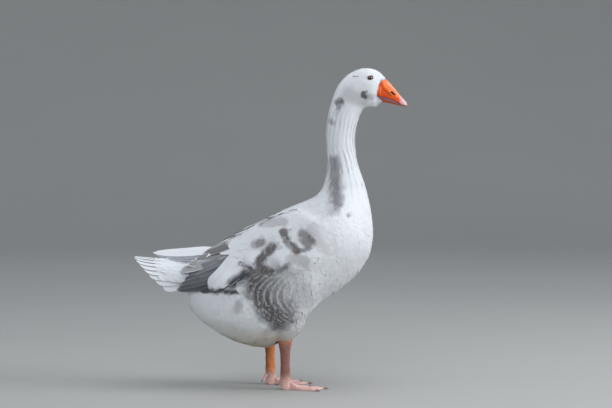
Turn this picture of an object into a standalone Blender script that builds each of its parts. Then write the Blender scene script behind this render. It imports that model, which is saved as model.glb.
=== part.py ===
"""A domestic goose that stands on the floor, as a still, life-size model. Metres, +Z up, the bill towards +X.

Lengths below are in millimetres, and MM turns them into Blender's metres. The body from the rump to the
forehead is one loft, parted into nodes by thin gaps. +Y is the goose's left side.
"""

import math

import bmesh
import bpy
from mathutils import Matrix, Vector

MM = 0.001
GAP = 0.35  # left between two nodes that touch
SIDES = {"right": -1, "left": 1}
WIDE = 300  # how far cutters reach to each side, past the whole goose

# The body, station by station from the rump to the forehead. Each ring lies in the plane through its back
# point and its belly point. PEAR above 0 makes a ring wider towards the belly; ROUND under 1 makes it boxier.
#            back x, z     belly x, z   half-width  pear  round
STATIONS = [
    ((-171, 257), (-178, 190), 41, 0.00, 1.0),  # tail root
    ((-152, 268), (-167, 163), 61, 0.04, 1.0),  # rump
    ((-119, 289), (-143, 137), 81, 0.08, 0.95),
    ((-81, 312), (-110, 114), 95, 0.10, 0.92),
    ((-47, 331), (-76, 97.5), 102, 0.10, 0.9),
    ((-12, 353), (-38, 86), 105, 0.10, 0.9),  # lowest part of the belly
    ((24, 373), (-6, 83), 105, 0.08, 0.9),
    ((52, 385), (26, 96), 105, 0.05, 0.92),
    ((76, 394), (62, 131), 104, 0.02, 0.95),  # behind the breastbone
    ((92, 401), (104, 179), 102, 0.00, 0.97),
    ((101, 408), (146, 205), 98, -0.02, 1.0),
    ((107, 416), (184, 238), 90, -0.03, 1.0),  # crop
    ((111, 425), (210, 278), 78, -0.03, 1.0),
    ((114, 436), (217.5, 325), 64, -0.02, 1.0),  # fullest part of the breast
    ((117, 447), (212, 373), 51, 0.00, 1.0),
    ((118.5, 461), (202.5, 416), 41, 0.00, 1.0),  # neck base
    ((119, 479), (190, 450), 35, 0.00, 1.0),
    ((117.5, 500), (180, 486), 31, 0.00, 1.0),
    ((116, 527), (177.5, 520), 29, 0.00, 1.0),  # middle of the neck
    ((117.5, 553), (181, 549), 28, 0.00, 1.0),
    ((122, 580), (188, 573), 27.5, 0.00, 1.0),
    ((130, 604), (197, 587), 26.5, 0.00, 1.0),  # throat
    ((144, 633), (209, 590.5), 26.5, 0.02, 1.0),
    ((164, 658), (216, 590.8), 26.5, 0.04, 1.0),  # nape and jaw
    ((190, 669.8), (221, 592.5), 25.7, 0.04, 1.0),
    ((214, 669.5), (224.7, 595.3), 23.6, 0.04, 1.0),  # crown
    ((232, 661), (227, 598), 20, 0.06, 0.97),  # forehead
    ((244, 647), (228.5, 600.7), 16.2, 0.12, 0.95),  # feather edge round the bill
]
# Where the loft is parted, as station numbers.
BODY_NODES = {
    "rump": (0, 2),
    "trunk": (2, 9),
    "breast": (9, 14),
    "neck_lower": (14, 16.5),
    "neck_middle": (16.5, 18.5),
    "neck_upper": (18.5, 21),
    "head": (21, 27),
}
TRUNK_SIDES, NECK_SIDES = 28, 24
NECK_STARTS, HEAD_STARTS = 14, 21

# The head is turned a little to the goose's right.
TURN_DEG = 6
TURN_FROM, TURN_TO = 18, 21
TURN_AXIS = (150, 0)

# The feathers of the forehead reach further forward than those beside the bill.
BILL_EDGE_SETBACK = 11

#            culmen x, z     underside x, z  half-width
BILL_STATIONS = [
    ((248, 642.3), (234, 598.8), 15.2),
    ((253.5, 636), (241, 597.2), 14.4),
    ((261.5, 626.2), (254, 594.4), 13.4),
    ((271, 614.6), (267, 591.4), 11.9),
    ((280, 604.2), (278, 589.2), 9.6),
    ((286, 597.8), (285.2, 588.2), 6.4),
    ((288.6, 593.2), (288, 589.4), 2.6),
]
BILL_PEAR, BILL_ROUND = 0.2, 0.92
# Where the bill is parted, as x and z: along the mouth, and round the nail from the culmen down.
MOUTH_LINE = [
    (205, 611), (222, 609.5), (234, 607.2), (246.5, 603.2),
    (259, 598), (272, 594.2), (284, 591.6), (296, 590),
]
NAIL_LINE = [(262, 640), (270.5, 615), (276, 601), (283, 584)]
LOWER_BILL_INSET = 1.6  # the upper bill overhangs the lower one
BILL_CUT = (200, 300, 560, 680)  # x and z that the cutters of the bill reach: rear, front, bottom, top

EYE_CENTRE = (207, 650.5)  # x, z, before the head is turned
EYE_RADIUS, EYE_DEPTH = 7.5, 15.6  # the ball's radius, and how far its centre is from the head's middle
HEAD_SIDE = 22  # half the head's width beside the eyes
ORBIT_RADIUS, ORBIT_DEPTH = 15, 2.0

# Each wing is a shell over the trunk, cut to its outline from the side. Rear to front, top first.
WING_THICKNESS = {0: 10, 1.5: 13, 3: 12, 5: 10, 9: 9, 12: 6}
WING_OUTLINE = [
    (-141, 330), (0, 405), (62, 376), (100, 352), (121, 320), (126, 290), (108, 268), (70, 257),
    (28, 247), (-12, 236), (-42, 224), (-65, 213), (-94, 208), (-118, 213), (-141, 232),
]
WING_INNER_EDGE = (-141, 3, 120, 62)  # x and distance from the middle at the rear, and the same at the front

# Feather groups behind each wing: z of the root's lower and upper end, how far the upper end stands up,
# then the tip's x, distance out and z. The left wing's longest feathers lie across the tail's root.
BLADE_ROOT_X = -141.5
BLADES = {
    "tertials_right": ((245, 273), 3, (-187, 38, 258)),
    "primaries_right": ((211, 243), 0, (-195, 57, 208)),
    "tertials_left": ((226, 255), 0, (-204, 46, 256)),
    "primaries_left": ((258, 273), 14, (-249, 20, 280.5)),
}
BLADE_THICKNESS, BLADE_TIP_THICKNESS, BLADE_TIP_HALF = 6, 1.6, 2.5
BLADE_CLEARANCE = 1  # between a blade's inner face and the rump, besides the gap
BLADE_ROWS, BLADE_COLUMNS = 7, 7

TAIL_FEATHERS = 16
TAIL_TIP = (-287, 276)  # the middle feathers
TAIL_SIDE_TIP = (-212, 46, 201)  # the outermost feather, x, y, z
TAIL_ROOT_ARC, TAIL_ARC_GAP = 116, 6  # degrees of the rump's ring that the fan's upper face takes each way
TAIL_THICKNESS = 1.8
TAIL_ROWS = 7
TAIL_NOTCH = 0.955  # how far the fan's edge is drawn back between two feathers
TAIL_CROWN = 5  # how far the middle of the fan arches up
COVERT_REACH = 0.6  # the share of the fan's length that its coverts fill out

# Legs: x of each shank, its distance from the middle, and the floor at z = 0.
LEG_X = {"right": 31, "left": -2}
LEG_OUT = 41
#          z   forward  out  half-length  half-width, from the top of the thigh down
THIGH_RINGS = [
    (218, -16, 22, 9, 7),
    (204, -12, 23, 29, 21),
    (182, -5, 23, 43, 31),
    (160, 0, 21, 47, 34),
    (140, 1, 17, 42, 31),
    (124, 2, 12, 33.5, 25),
    (112.5, 2, 6, 21.5, 17),
    (103.5, 0, 1, 13, 11),
]
#          z  forward half-length half-width
SHANK_RINGS = [
    (102.5, 0, 12.2, 9.5),
    (95, 0, 12, 9.8),
    (84, 0, 10.6, 8.4),
    (60, 0, 9.6, 7.4),
    (36, 0.5, 10, 7.6),
    (23, 1.5, 11.2, 8.6),
    (16.5, 2, 11.6, 9.2),
]
FOOT_TOP = 16
HEEL_RADIUS = 11
# Toes of the right foot: angle from straight ahead, positive towards the other foot, and length.
TOES = {"inner": (30, 57), "middle": (2, 80), "outer": (-25, 69)}
TOE_HEIGHT, TOE_END_HEIGHT, TOE_HALF_WIDTH, WEB_THICKNESS = 8.5, 5.2, 5.2, 2.2
FOOT_EDGE_SHARE = 0.55  # the foot's height at its rim, as a share of what it is just inside
ANKLE_SLOPE = (-2, 14)  # where the ankle runs out into the foot, from the heel's radius
WEB_SCALLOP = 13  # how far a web's edge is drawn back between two toes
OUTSIDE_FADE = 6  # degrees beside the outermost toes over which the foot narrows to the heel
CLAW_LENGTH, CLAW_RADIUS = 8.5, 2.5
CLAW_RAISE, CLAW_DROOP, CLAW_TIP_RADIUS = 0.3, 1.2, 0.9  # off the floor, bent down, and how blunt it is
HIND_TOE = ((-8, 5, 22), (-17.5, 12, 10), 3.4)  # root and tip from the foot, and radius
HIND_CLAW_LENGTH, HIND_CLAW_RADIUS, HIND_CLAW_TIP_RADIUS = 6, 1.8, 0.7
# Where a foot's outline has its points between and beyond the toes, in degrees, and along each spoke.
HEEL_ANGLES_OUTSIDE = (-150, -110, -75, -52, -40)
HEEL_ANGLES_INSIDE = (44, 56, 78, 112, 150, 180)
TOE_EDGE, WEB_SHARES = 5, (0.36, 0.64)
SPOKE_SHARES = (0.18, 0.36, 0.52, 0.68, 0.84, 1.0)


def smooth_step(t):
    t = min(1.0, max(0.0, t))
    return t * t * (3 - 2 * t)


def mix(a, b, t):
    return a + (b - a) * t


def spline(values, s):
    """A smooth curve through values, read at s, where s = 1 is the second value."""
    i = min(len(values) - 2, max(0, int(s)))
    t = s - i
    p1, p2 = values[i], values[i + 1]
    p0 = values[i - 1] if i else 2 * p1 - p2
    p3 = values[i + 2] if i + 2 < len(values) else 2 * p2 - p1
    bend = (2 * p0 - 5 * p1 + 4 * p2 - p3) * t**2 + (3 * p1 - p0 - 3 * p2 + p3) * t**3
    return 0.5 * (2 * p1 + (p2 - p0) * t + bend)


def smooth_curve(points, steps):
    """Points along the smooth curve through an open list of 2-D points."""
    columns = list(zip(*points))
    count = (len(points) - 1) * steps + 1
    return [tuple(spline(column, n / steps) for column in columns) for n in range(count)]


def turned(point, amount=1.0):
    """A point of the head, turned with it."""
    axis = Vector((*TURN_AXIS, 0))
    return Matrix.Rotation(math.radians(-TURN_DEG * amount), 3, "Z") @ (Vector(point) - axis) + axis


def body_ring(stations, s, sides, grow=0.0, slide=0.0):
    """The ring at station s: grown outwards by grow, and moved by slide along the normal of its plane."""
    back = Vector([spline([row[0][k] for row in stations], s) for k in (0, 1)])
    belly = Vector([spline([row[1][k] for row in stations], s) for k in (0, 1)])
    width = spline([row[2] for row in stations], s) + grow
    pear, roundness = (spline([row[k] for row in stations], s) for k in (3, 4))
    middle, up = (back + belly) / 2, (back - belly).normalized()
    height = (back - belly).length / 2 + grow
    ahead = Vector((up.y, -up.x))
    ring = []
    for n in range(sides):
        angle = 2 * math.pi * n / sides
        c, y = math.cos(angle), math.sin(angle)
        along = middle + up * height * math.copysign(abs(c) ** roundness, c) + ahead * slide
        out = width * math.copysign(abs(y) ** roundness, y) * (1 - pear * c)
        ring.append(Vector((along.x, out, along.y)))
    return ring


def set_back(ring, share=1.0):
    """The feather edge round the bill: level with the forehead at the top, further back at the sides."""
    sides = len(ring)
    moved = []
    for n, point in enumerate(ring):
        side = abs(math.sin(2 * math.pi * n / sides))
        back = BILL_EDGE_SETBACK * share * (1 - (1 - side) ** 2.2)
        moved.append(point - Vector((back, 0, 0)))
    return moved


def turn_at(s):
    return smooth_step((s - TURN_FROM) / (TURN_TO - TURN_FROM))


def add_object(name, mesh, colour, roughness=0.85):
    material = bpy.data.materials.new(name)
    material.use_nodes = True
    shader = material.node_tree.nodes["Principled BSDF"]
    shader.inputs["Base Color"].default_value = (*colour, 1)
    shader.inputs["Roughness"].default_value = roughness
    shader.inputs["Metallic"].default_value = 0
    mesh.materials.append(material)
    obj = bpy.data.objects.new(name, mesh)
    bpy.context.scene.collection.objects.link(obj)
    return obj


def mesh_from(name, bm):
    """A mesh in metres from a bmesh in millimetres, facing out and shaded smooth."""
    bmesh.ops.recalc_face_normals(bm, faces=bm.faces)
    bmesh.ops.scale(bm, vec=(MM, MM, MM), verts=bm.verts)
    mesh = bpy.data.meshes.new(name)
    bm.to_mesh(mesh)
    bm.free()
    if mesh_volume(mesh) < 0:
        mesh.flip_normals()
    mesh.shade_smooth()
    mesh.set_sharp_from_angle(angle=math.radians(40))
    return mesh


def mesh_volume(mesh):
    bm = bmesh.new()
    bm.from_mesh(mesh)
    volume = bm.calc_volume(signed=True)
    bm.free()
    return volume


def loft(name, rings):
    """A closed mesh through rings of the same number of points, each end closed by a fan to its middle."""
    bm = bmesh.new()
    rows = [[bm.verts.new(point) for point in ring] for ring in rings]
    sides = len(rows[0])
    for a, b in zip(rows, rows[1:]):
        for n in range(sides):
            m = (n + 1) % sides
            bm.faces.new((a[n], a[m], b[m], b[n]))
    for row, turn in ((rows[0], -1), (rows[-1], 1)):
        middle = bm.verts.new(sum((v.co for v in row), Vector()) / sides)
        for n in range(sides):
            pair = (row[n], row[(n + 1) % sides])[::turn]
            bm.faces.new((*pair, middle))
    return mesh_from(name, bm)


def slab(name, upper, lower):
    """A closed mesh between two grids of points that have the same rows and columns."""
    bm = bmesh.new()
    top, under = [[[bm.verts.new(point) for point in row] for row in grid] for grid in (upper, lower)]
    rows, columns = len(top), len(top[0])
    for i in range(rows - 1):
        for j in range(columns - 1):
            bm.faces.new((top[i][j], top[i][j + 1], top[i + 1][j + 1], top[i + 1][j]))
            bm.faces.new((under[i][j], under[i + 1][j], under[i + 1][j + 1], under[i][j + 1]))
    rim = [(0, j) for j in range(columns)] + [(i, columns - 1) for i in range(1, rows)]
    rim += [(rows - 1, j) for j in range(columns - 2, -1, -1)] + [(i, 0) for i in range(rows - 2, 0, -1)]
    for (i, j), (k, m) in zip(rim, rim[1:] + rim[:1]):
        bm.faces.new((top[i][j], under[i][j], under[k][m], top[k][m]))
    return mesh_from(name, bm)


def prism(name, outline, inner, outer):
    """A helper mesh: an outline in x and z, carried from y = inner(x) to y = outer."""
    bm = bmesh.new()
    near = [bm.verts.new((x, inner(x), z)) for x, z in outline]
    far = [bm.verts.new((x, outer, z)) for x, z in outline]
    count = len(outline)
    for n in range(count):
        m = (n + 1) % count
        bm.faces.new((near[n], near[m], far[m], far[n]))
    bm.faces.new(near[::-1])
    bm.faces.new(far)
    return mesh_from(name, bm)


def helper(name, mesh):
    """A cutter, kept out of the model."""
    obj = bpy.data.objects.new(name, mesh)
    bpy.context.scene.collection.objects.link(obj)
    obj.hide_render = True
    obj.display_type = "WIRE"
    return obj


def combine(obj, operation, other):
    modifier = obj.modifiers.new(other.name, "BOOLEAN")
    modifier.operation = operation
    modifier.object = other
    modifier.solver = "EXACT"


def station_steps(first, last):
    """Station numbers from first to last: every whole one between them, and every half one in the head."""
    halves = [n / 2 for n in range(2 * len(STATIONS))]
    return [first] + [s for s in halves if first < s < last and (s % 1 == 0 or s > HEAD_STARTS)] + [last]


def body_rings(first, last, sides, grow=0.0, gaps=True):
    """Rings of the body from first to last, with half a gap at each end that meets a neighbour."""
    steps = station_steps(first, last)
    rings = []
    for s in steps:
        slide = 0.0
        if gaps:
            slide = {first: GAP / 2, last: -GAP / 2}.get(s, 0.0)
        extra = grow(s) if callable(grow) else grow
        ring = body_ring(STATIONS, s, sides, extra, slide)
        ring = set_back(ring, max(0.0, 1 - (len(STATIONS) - 1 - s) / 3))
        rings.append([turned(point, turn_at(s)) for point in ring])
    return rings


def wing_growth(s):
    """How far a wing's outer face stands off the trunk."""
    marks = sorted(WING_THICKNESS)
    for a, b in zip(marks, marks[1:]):
        if s <= b:
            return mix(WING_THICKNESS[a], WING_THICKNESS[b], (s - a) / (b - a))
    return WING_THICKNESS[marks[-1]]


def clear_scene():
    for obj in list(bpy.data.objects):
        bpy.data.objects.remove(obj)


def make_body():
    """Rump, trunk, breast, neck and head."""
    nodes = {}
    for name, (first, last) in BODY_NODES.items():
        sides = TRUNK_SIDES if last <= NECK_STARTS else NECK_SIDES
        mesh = loft(name, body_rings(first, last, sides))
        nodes[name] = add_object(name, mesh, (0.8, 0.81, 0.83))
    return nodes


def make_bill():
    """Upper bill, its nail and lower bill, as parts of one wedge that widens towards the mouth."""

    def wedge(name, grow):
        edge = body_ring(STATIONS, len(STATIONS) - 1, NECK_SIDES, slide=GAP / 2)
        rings = [[turned(point) for point in set_back(edge)]]
        rows = [(*row, BILL_PEAR, BILL_ROUND) for row in BILL_STATIONS]
        for s in range(len(rows)):
            ring = body_ring(rows, s, NECK_SIDES, grow)
            rings.append([turned(point) for point in set_back(ring, max(0.0, 0.55 - s / 3))])
        return loft(name, rings)

    def shifted(line, dx, dz):
        return [(x + dx, z + dz) for x, z in line]

    mouth = smooth_curve(MOUTH_LINE, 2)
    nail = smooth_curve(NAIL_LINE, 2)
    half = GAP / 2
    rear, front, bottom, top = BILL_CUT
    above = shifted(mouth, 0, half) + [(front, top), (rear, top)]
    below = shifted(mouth, 0, -half) + [(front, bottom), (rear, bottom)]
    behind_nail = shifted(nail, -half, 0) + [(rear, bottom), (rear, top), (NAIL_LINE[0][0], top)]
    before_nail = shifted(nail, half, 0) + [(front, bottom), (front, top), (NAIL_LINE[0][0], top)]
    cuts = {
        "bill_upper": (0.0, (above, behind_nail), (0.85, 0.2, 0.03)),
        "bill_nail": (0.0, (above, before_nail), (0.8, 0.6, 0.55)),
        "bill_lower": (-LOWER_BILL_INSET, (below,), (0.55, 0.13, 0.03)),
    }
    for name, (grow, outlines, colour) in cuts.items():
        obj = add_object(name, wedge(name, grow), colour, 0.45)
        for n, outline in enumerate(outlines):
            cutter = prism(f"{name}_cut_{n}", outline, lambda x: -WIDE, WIDE)
            combine(obj, "INTERSECT", helper(f"{name}_cut_{n}", cutter))


def ball(name, centre, radius, rings=10, sides=16):
    bm = bmesh.new()
    bmesh.ops.create_uvsphere(bm, u_segments=sides, v_segments=rings, radius=radius)
    bmesh.ops.rotate(bm, verts=bm.verts, matrix=Matrix.Rotation(math.pi / 2, 3, "X"))
    bmesh.ops.translate(bm, vec=centre, verts=bm.verts)
    return mesh_from(name, bm)


def make_eyes(head):
    """Each eye is a whole ball in a socket, under a shallow hollow in the side of the head."""
    x, z = EYE_CENTRE
    for side, sign in SIDES.items():
        centre = turned((x, sign * EYE_DEPTH, z))
        add_object(f"eye_{side}", ball(f"eye_{side}", centre, EYE_RADIUS), (0.05, 0.02, 0.01), 0.08)
        socket = ball(f"socket_{side}", centre, EYE_RADIUS + GAP)
        combine(head, "DIFFERENCE", helper(f"socket_{side}", socket))
        outside = turned((x, sign * (HEAD_SIDE + ORBIT_RADIUS - ORBIT_DEPTH), z))
        orbit = ball(f"orbit_{side}", outside, ORBIT_RADIUS)
        combine(head, "DIFFERENCE", helper(f"orbit_{side}", orbit))


def make_wings():
    """Each wing is what lies between the trunk's surface and a larger one, inside the wing's outline."""
    rear_x, rear_y, front_x, front_y = WING_INNER_EDGE
    slope = (front_y - rear_y) / (front_x - rear_x)
    outline = smooth_curve(WING_OUTLINE, 2)
    inside = body_rings(0, NECK_STARTS, TRUNK_SIDES, GAP, False)
    inner_shell = helper("wing_inside", loft("wing_inside", inside))
    for side, sign in SIDES.items():
        name = f"wing_{side}"
        shell = loft(name, body_rings(0, NECK_STARTS, TRUNK_SIDES, wing_growth, False))
        wing = add_object(name, shell, (0.78, 0.79, 0.82))
        cutter = prism(f"{name}_cut", outline, lambda x: sign * (rear_y + slope * (x - rear_x)), sign * WIDE)
        combine(wing, "INTERSECT", helper(f"{name}_cut", cutter))
        combine(wing, "DIFFERENCE", inner_shell)


def skin_point(x, z, sign, stand_off):
    """The point that stands off the trunk's surface beside x and z, and the outward direction there."""
    low, high = 0.0, float(NECK_STARTS)
    for _ in range(30):
        s = (low + high) / 2
        back = [spline([row[0][k] for row in STATIONS], s) for k in (0, 1)]
        belly = [spline([row[1][k] for row in STATIONS], s) for k in (0, 1)]
        t = (z - belly[1]) / (back[1] - belly[1])
        if mix(belly[0], back[0], t) < x:
            low = s
        else:
            high = s
    width, pear, roundness = (spline([row[k] for row in STATIONS], s) for k in (2, 3, 4))
    c = min(1.0, max(-1.0, 2 * t - 1))
    angle = math.acos(math.copysign(abs(c) ** (1 / roundness), c))
    out = width * math.sin(angle) ** roundness * (1 - pear * c)
    height = (back[1] - belly[1]) / 2
    normal = Vector((0, sign * math.sin(angle) / width, math.cos(angle) / height)).normalized()
    return Vector((x, sign * out, z)) + normal * stand_off, normal


def make_blades():
    """The feathers that reach past each wing: a plate that follows the rump and thins towards its tip."""
    for name, ((low, high), lift, (tip_x, tip_out, tip_z)) in BLADES.items():
        sign = SIDES[name.split("_")[1]]
        tip = Vector((tip_x, sign * tip_out, tip_z))
        stand_off = GAP + BLADE_CLEARANCE + BLADE_THICKNESS / 2
        middle, _ = skin_point(BLADE_ROOT_X, mix(low, high, 0.5), sign, stand_off + lift / 2)
        grids = ([], [])
        for i in range(BLADE_ROWS):
            u = i / (BLADE_ROWS - 1)
            depth = mix(BLADE_THICKNESS, BLADE_TIP_THICKNESS, u) / 2
            spread = mix(BLADE_TIP_HALF * 2 / (high - low), 1, (1 - u**2.2) ** 0.8)
            outer, inner = [], []
            for j in range(BLADE_COLUMNS):
                v = j / (BLADE_COLUMNS - 1)
                root, normal = skin_point(BLADE_ROOT_X, mix(low, high, v), sign, stand_off + lift * v)
                point = middle.lerp(tip, u) + (root - middle) * spread
                outer.append(point + normal * depth)
                inner.append(point - normal * depth)
            grids[0].append(outer)
            grids[1].append(inner)
        add_object(name, slab(name, *grids), (0.4, 0.4, 0.42))


def make_tail():
    """A fan of feathers, folded like a tent, with the coverts that fill its root."""
    columns = 2 * TAIL_FEATHERS + 1
    ahead = body_ring(STATIONS, 0, 360, slide=-GAP / 2)

    def root(degrees):
        return ahead[round(degrees) % 360]

    def tip(v):
        a = abs(v)
        x = TAIL_TIP[0] + (TAIL_SIDE_TIP[0] - TAIL_TIP[0]) * a**2
        z = TAIL_TIP[1] + (TAIL_SIDE_TIP[2] - TAIL_TIP[1]) * a**1.9
        return Vector((x, TAIL_SIDE_TIP[1] * math.sin(v * math.pi / 2), z))

    upper, lower = [], []
    for i in range(TAIL_ROWS):
        u = i / (TAIL_ROWS - 1)
        top, under = [], []
        for j in range(columns):
            v = 2 * j / (columns - 1) - 1
            notch = 1.0 if j % 2 else TAIL_NOTCH
            reach = u * mix(1.0, notch, smooth_step((u - 0.6) / 0.4))
            point = root(v * TAIL_ROOT_ARC).lerp(tip(v), reach)
            point.z += TAIL_CROWN * math.sin(math.pi * reach) * (1 - abs(v))
            inward = Vector((0.25, -0.7 * v, -1)).normalized()
            fan = point + inward * TAIL_THICKNESS
            edge = TAIL_ROOT_ARC + TAIL_ARC_GAP
            covert = root(180 - v * (180 - edge)).lerp(tip(v), reach * 0.9)
            top.append(point)
            under.append(covert.lerp(fan, smooth_step(reach / COVERT_REACH)))
        upper.append(top)
        lower.append(under)
    add_object("tail", slab("tail", upper, lower), (0.82, 0.82, 0.8))


def leg_ring(x, y, z, half_length, half_width, sides=16):
    ring = []
    for n in range(sides):
        angle = 2 * math.pi * n / sides
        ring.append(Vector((x + half_length * math.cos(angle), y + half_width * math.sin(angle), z)))
    return ring


def thigh_rings(side, grow=0.0):
    rings = []
    for k, (z, ahead, out, length, width) in enumerate(THIGH_RINGS):
        level = z + grow * ((k == 0) - (k == len(THIGH_RINGS) - 1))
        centre = (LEG_X[side] + ahead, SIDES[side] * (LEG_OUT + out))
        rings.append(leg_ring(*centre, level, length + grow, width + grow))
    return rings


def make_thighs(trunk_parts):
    """Each thigh sits in a pocket of the trunk, one gap away all round."""
    for side in SIDES:
        name = f"thigh_{side}"
        add_object(name, loft(name, thigh_rings(side)), (0.7, 0.7, 0.72))
        pocket = helper(f"{name}_pocket", loft(f"{name}_pocket", thigh_rings(side, GAP)))
        for part in trunk_parts:
            combine(part, "DIFFERENCE", pocket)


def shank_rings(side, grow=0.0):
    rings = []
    for k, (z, ahead, length, width) in enumerate(SHANK_RINGS):
        level = z + grow * ((k == 0) - (k == len(SHANK_RINGS) - 1))
        centre = (LEG_X[side] + ahead, SIDES[side] * LEG_OUT)
        rings.append(leg_ring(*centre, level, length + grow, width + grow))
    return rings


def make_shanks(trunk):
    """The scaled part of each leg, which starts inside the feathers of the belly."""
    for side in SIDES:
        name = f"shank_{side}"
        add_object(name, loft(name, shank_rings(side)), (0.55, 0.25, 0.18), 0.6)
        pocket = loft(f"{name}_pocket", shank_rings(side, GAP))
        combine(trunk, "DIFFERENCE", helper(f"{name}_pocket", pocket))


def foot_reach(angle):
    """How far the foot's edge is from the shank in a direction, in degrees."""
    toes = sorted(TOES.values())
    if angle < toes[0][0]:
        return mix(HEEL_RADIUS, toes[0][1], math.exp(-(((angle - toes[0][0]) / OUTSIDE_FADE) ** 2)))
    if angle > toes[-1][0]:
        return mix(HEEL_RADIUS, toes[-1][1], math.exp(-(((angle - toes[-1][0]) / OUTSIDE_FADE) ** 2)))
    for (a, reach_a), (b, reach_b) in zip(toes, toes[1:]):
        if angle <= b:
            t = (angle - a) / (b - a)
            return mix(reach_a, reach_b, t) - WEB_SCALLOP * math.sin(math.pi * t) ** 0.8
    return HEEL_RADIUS


def foot_height(x, y):
    """The foot's upper face: webs, a rounded ridge along each toe, and the ankle."""
    r = math.hypot(x, y)
    height = WEB_THICKNESS
    for angle, length in TOES.values():
        a = math.radians(angle)
        along = x * math.cos(a) + y * math.sin(a)
        off = abs(y * math.cos(a) - x * math.sin(a))
        ridge = mix(TOE_HEIGHT, TOE_END_HEIGHT, along / length)
        if along > 0:
            height = max(height, ridge * math.exp(-((off / TOE_HALF_WIDTH) ** 2) * 0.9))
    first, last = ANKLE_SLOPE
    return mix(FOOT_TOP, height, smooth_step((r - HEEL_RADIUS - first) / (last - first)))


def make_feet():
    """Each foot is flat below and rounded above, laid out round the foot of its shank."""
    angles = list(HEEL_ANGLES_OUTSIDE)
    toes = sorted(TOES.values())
    for (a, _), (b, _) in zip(toes, toes[1:]):
        angles += [a - TOE_EDGE, a, a + TOE_EDGE] + [mix(a, b, share) for share in WEB_SHARES]
    last = toes[-1][0]
    angles += [last - TOE_EDGE, last, last + TOE_EDGE, *HEEL_ANGLES_INSIDE]
    for side, sign in SIDES.items():
        bm = bmesh.new()
        centre = (LEG_X[side] + SHANK_RINGS[-1][1], sign * LEG_OUT)
        top, under = [], []
        for angle in angles:
            column = []
            for share in SPOKE_SHARES:
                r = max(share * foot_reach(angle), share * HEEL_RADIUS)
                x, y = r * math.cos(math.radians(angle)), r * math.sin(math.radians(angle))
                z = foot_height(x, y) * (1 if share < 1 else FOOT_EDGE_SHARE)
                column.append(bm.verts.new((centre[0] + x, centre[1] - sign * y, z)))
            top.append(column)
            under.append(bm.verts.new((column[-1].co.x, column[-1].co.y, 0)))
        middle = bm.verts.new((*centre, FOOT_TOP))
        count = len(angles)
        for n in range(count):
            m = (n + 1) % count
            bm.faces.new((middle, top[n][0], top[m][0]))
            for k in range(len(SPOKE_SHARES) - 1):
                bm.faces.new((top[n][k], top[n][k + 1], top[m][k + 1], top[m][k]))
            bm.faces.new((top[n][-1], under[n], under[m], top[m][-1]))
        bm.faces.new(under)
        name = f"foot_{side}"
        add_object(name, mesh_from(name, bm), (0.6, 0.3, 0.24), 0.6)


def tapered(name, start, end, radius, end_radius, droop=0.0, sides=8):
    """A round-ended tapering rod from start to end, its end bent down by droop."""
    ahead = (end - start).normalized()
    across = ahead.orthogonal().normalized()
    up = ahead.cross(across)
    rings = []
    for t in (0, 0.25, 0.5, 0.75, 0.93, 1.0):
        centre = start.lerp(end, t) - Vector((0, 0, droop * t * t))
        size = mix(radius, end_radius, t) * (1.0 if t < 1 else 0.45)
        ring = []
        for n in range(sides):
            angle = 2 * math.pi * n / sides
            ring.append(centre + size * (across * math.cos(angle) + up * math.sin(angle)))
        rings.append(ring)
    return loft(name, rings)


def make_toes():
    """Hind toes and claws."""
    for side, sign in SIDES.items():
        foot = Vector((LEG_X[side] + SHANK_RINGS[-1][1], sign * LEG_OUT, 0))
        for toe, (angle, length) in TOES.items():
            a = math.radians(angle)
            ahead = Vector((math.cos(a), -sign * math.sin(a), 0))
            start = foot + ahead * (length + GAP) + Vector((0, 0, CLAW_RADIUS + CLAW_RAISE))
            end = start + ahead * CLAW_LENGTH
            name = f"claw_{side}_{toe}"
            mesh = tapered(name, start, end, CLAW_RADIUS, CLAW_TIP_RADIUS, CLAW_DROOP)
            add_object(name, mesh, (0.12, 0.09, 0.08), 0.4)
        (sx, sy, sz), (ex, ey, ez), radius = HIND_TOE
        start = foot + Vector((sx, -sign * sy, sz))
        end = foot + Vector((ex, -sign * ey, ez))
        ahead = (end - start).normalized()
        name = f"hind_toe_{side}"
        toe = add_object(name, tapered(name, start, end, radius, radius * 0.7), (0.55, 0.28, 0.22), 0.6)
        cutter = loft(f"{name}_cut", shank_rings(side, GAP))
        combine(toe, "DIFFERENCE", helper(f"{name}_cut", cutter))
        start = end + ahead * GAP
        end = start + ahead * HIND_CLAW_LENGTH
        name = f"claw_{side}_hind"
        mesh = tapered(name, start, end, HIND_CLAW_RADIUS, HIND_CLAW_TIP_RADIUS)
        add_object(name, mesh, (0.12, 0.09, 0.08), 0.4)


def stand_on_origin():
    """Moves everything together so that the origin is the bottom centre of the model's box."""
    bpy.context.view_layer.update()
    graph = bpy.context.evaluated_depsgraph_get()
    corners = []
    for obj in bpy.context.scene.objects:
        if not obj.hide_render:
            evaluated = obj.evaluated_get(graph)
            corners += [evaluated.matrix_world @ vertex.co for vertex in evaluated.data.vertices]
    low = [min(corner[k] for corner in corners) for k in range(3)]
    high = [max(corner[k] for corner in corners) for k in range(3)]
    centre = Vector(((low[0] + high[0]) / 2, (low[1] + high[1]) / 2, low[2]))
    for obj in bpy.context.scene.objects:
        obj.location -= centre


def main():
    clear_scene()
    body = make_body()
    make_bill()
    make_eyes(body["head"])
    make_wings()
    make_blades()
    make_tail()
    make_thighs([body["trunk"], body["breast"]])
    make_shanks(body["trunk"])
    make_feet()
    make_toes()
    stand_on_origin()


main()
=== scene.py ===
"""The looks of a domestic goose, built around its CAD frame. Metres, +Z up, the bill towards +X.

One skin stands for the flesh and lies inside the coat. Every feather is a thin closed vane that starts at the
skin, follows the lie of the coat and ends level with the CAD's outline. Bill, eyes, lids, legs and claws are
finer versions of their CAD nodes. A place on the goose is given as shares of a CAD node's box.
"""

import math

import bmesh
import bpy
import numpy as np
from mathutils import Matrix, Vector
from mathutils.bvhtree import BVHTree
from mathutils.kdtree import KDTree


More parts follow.
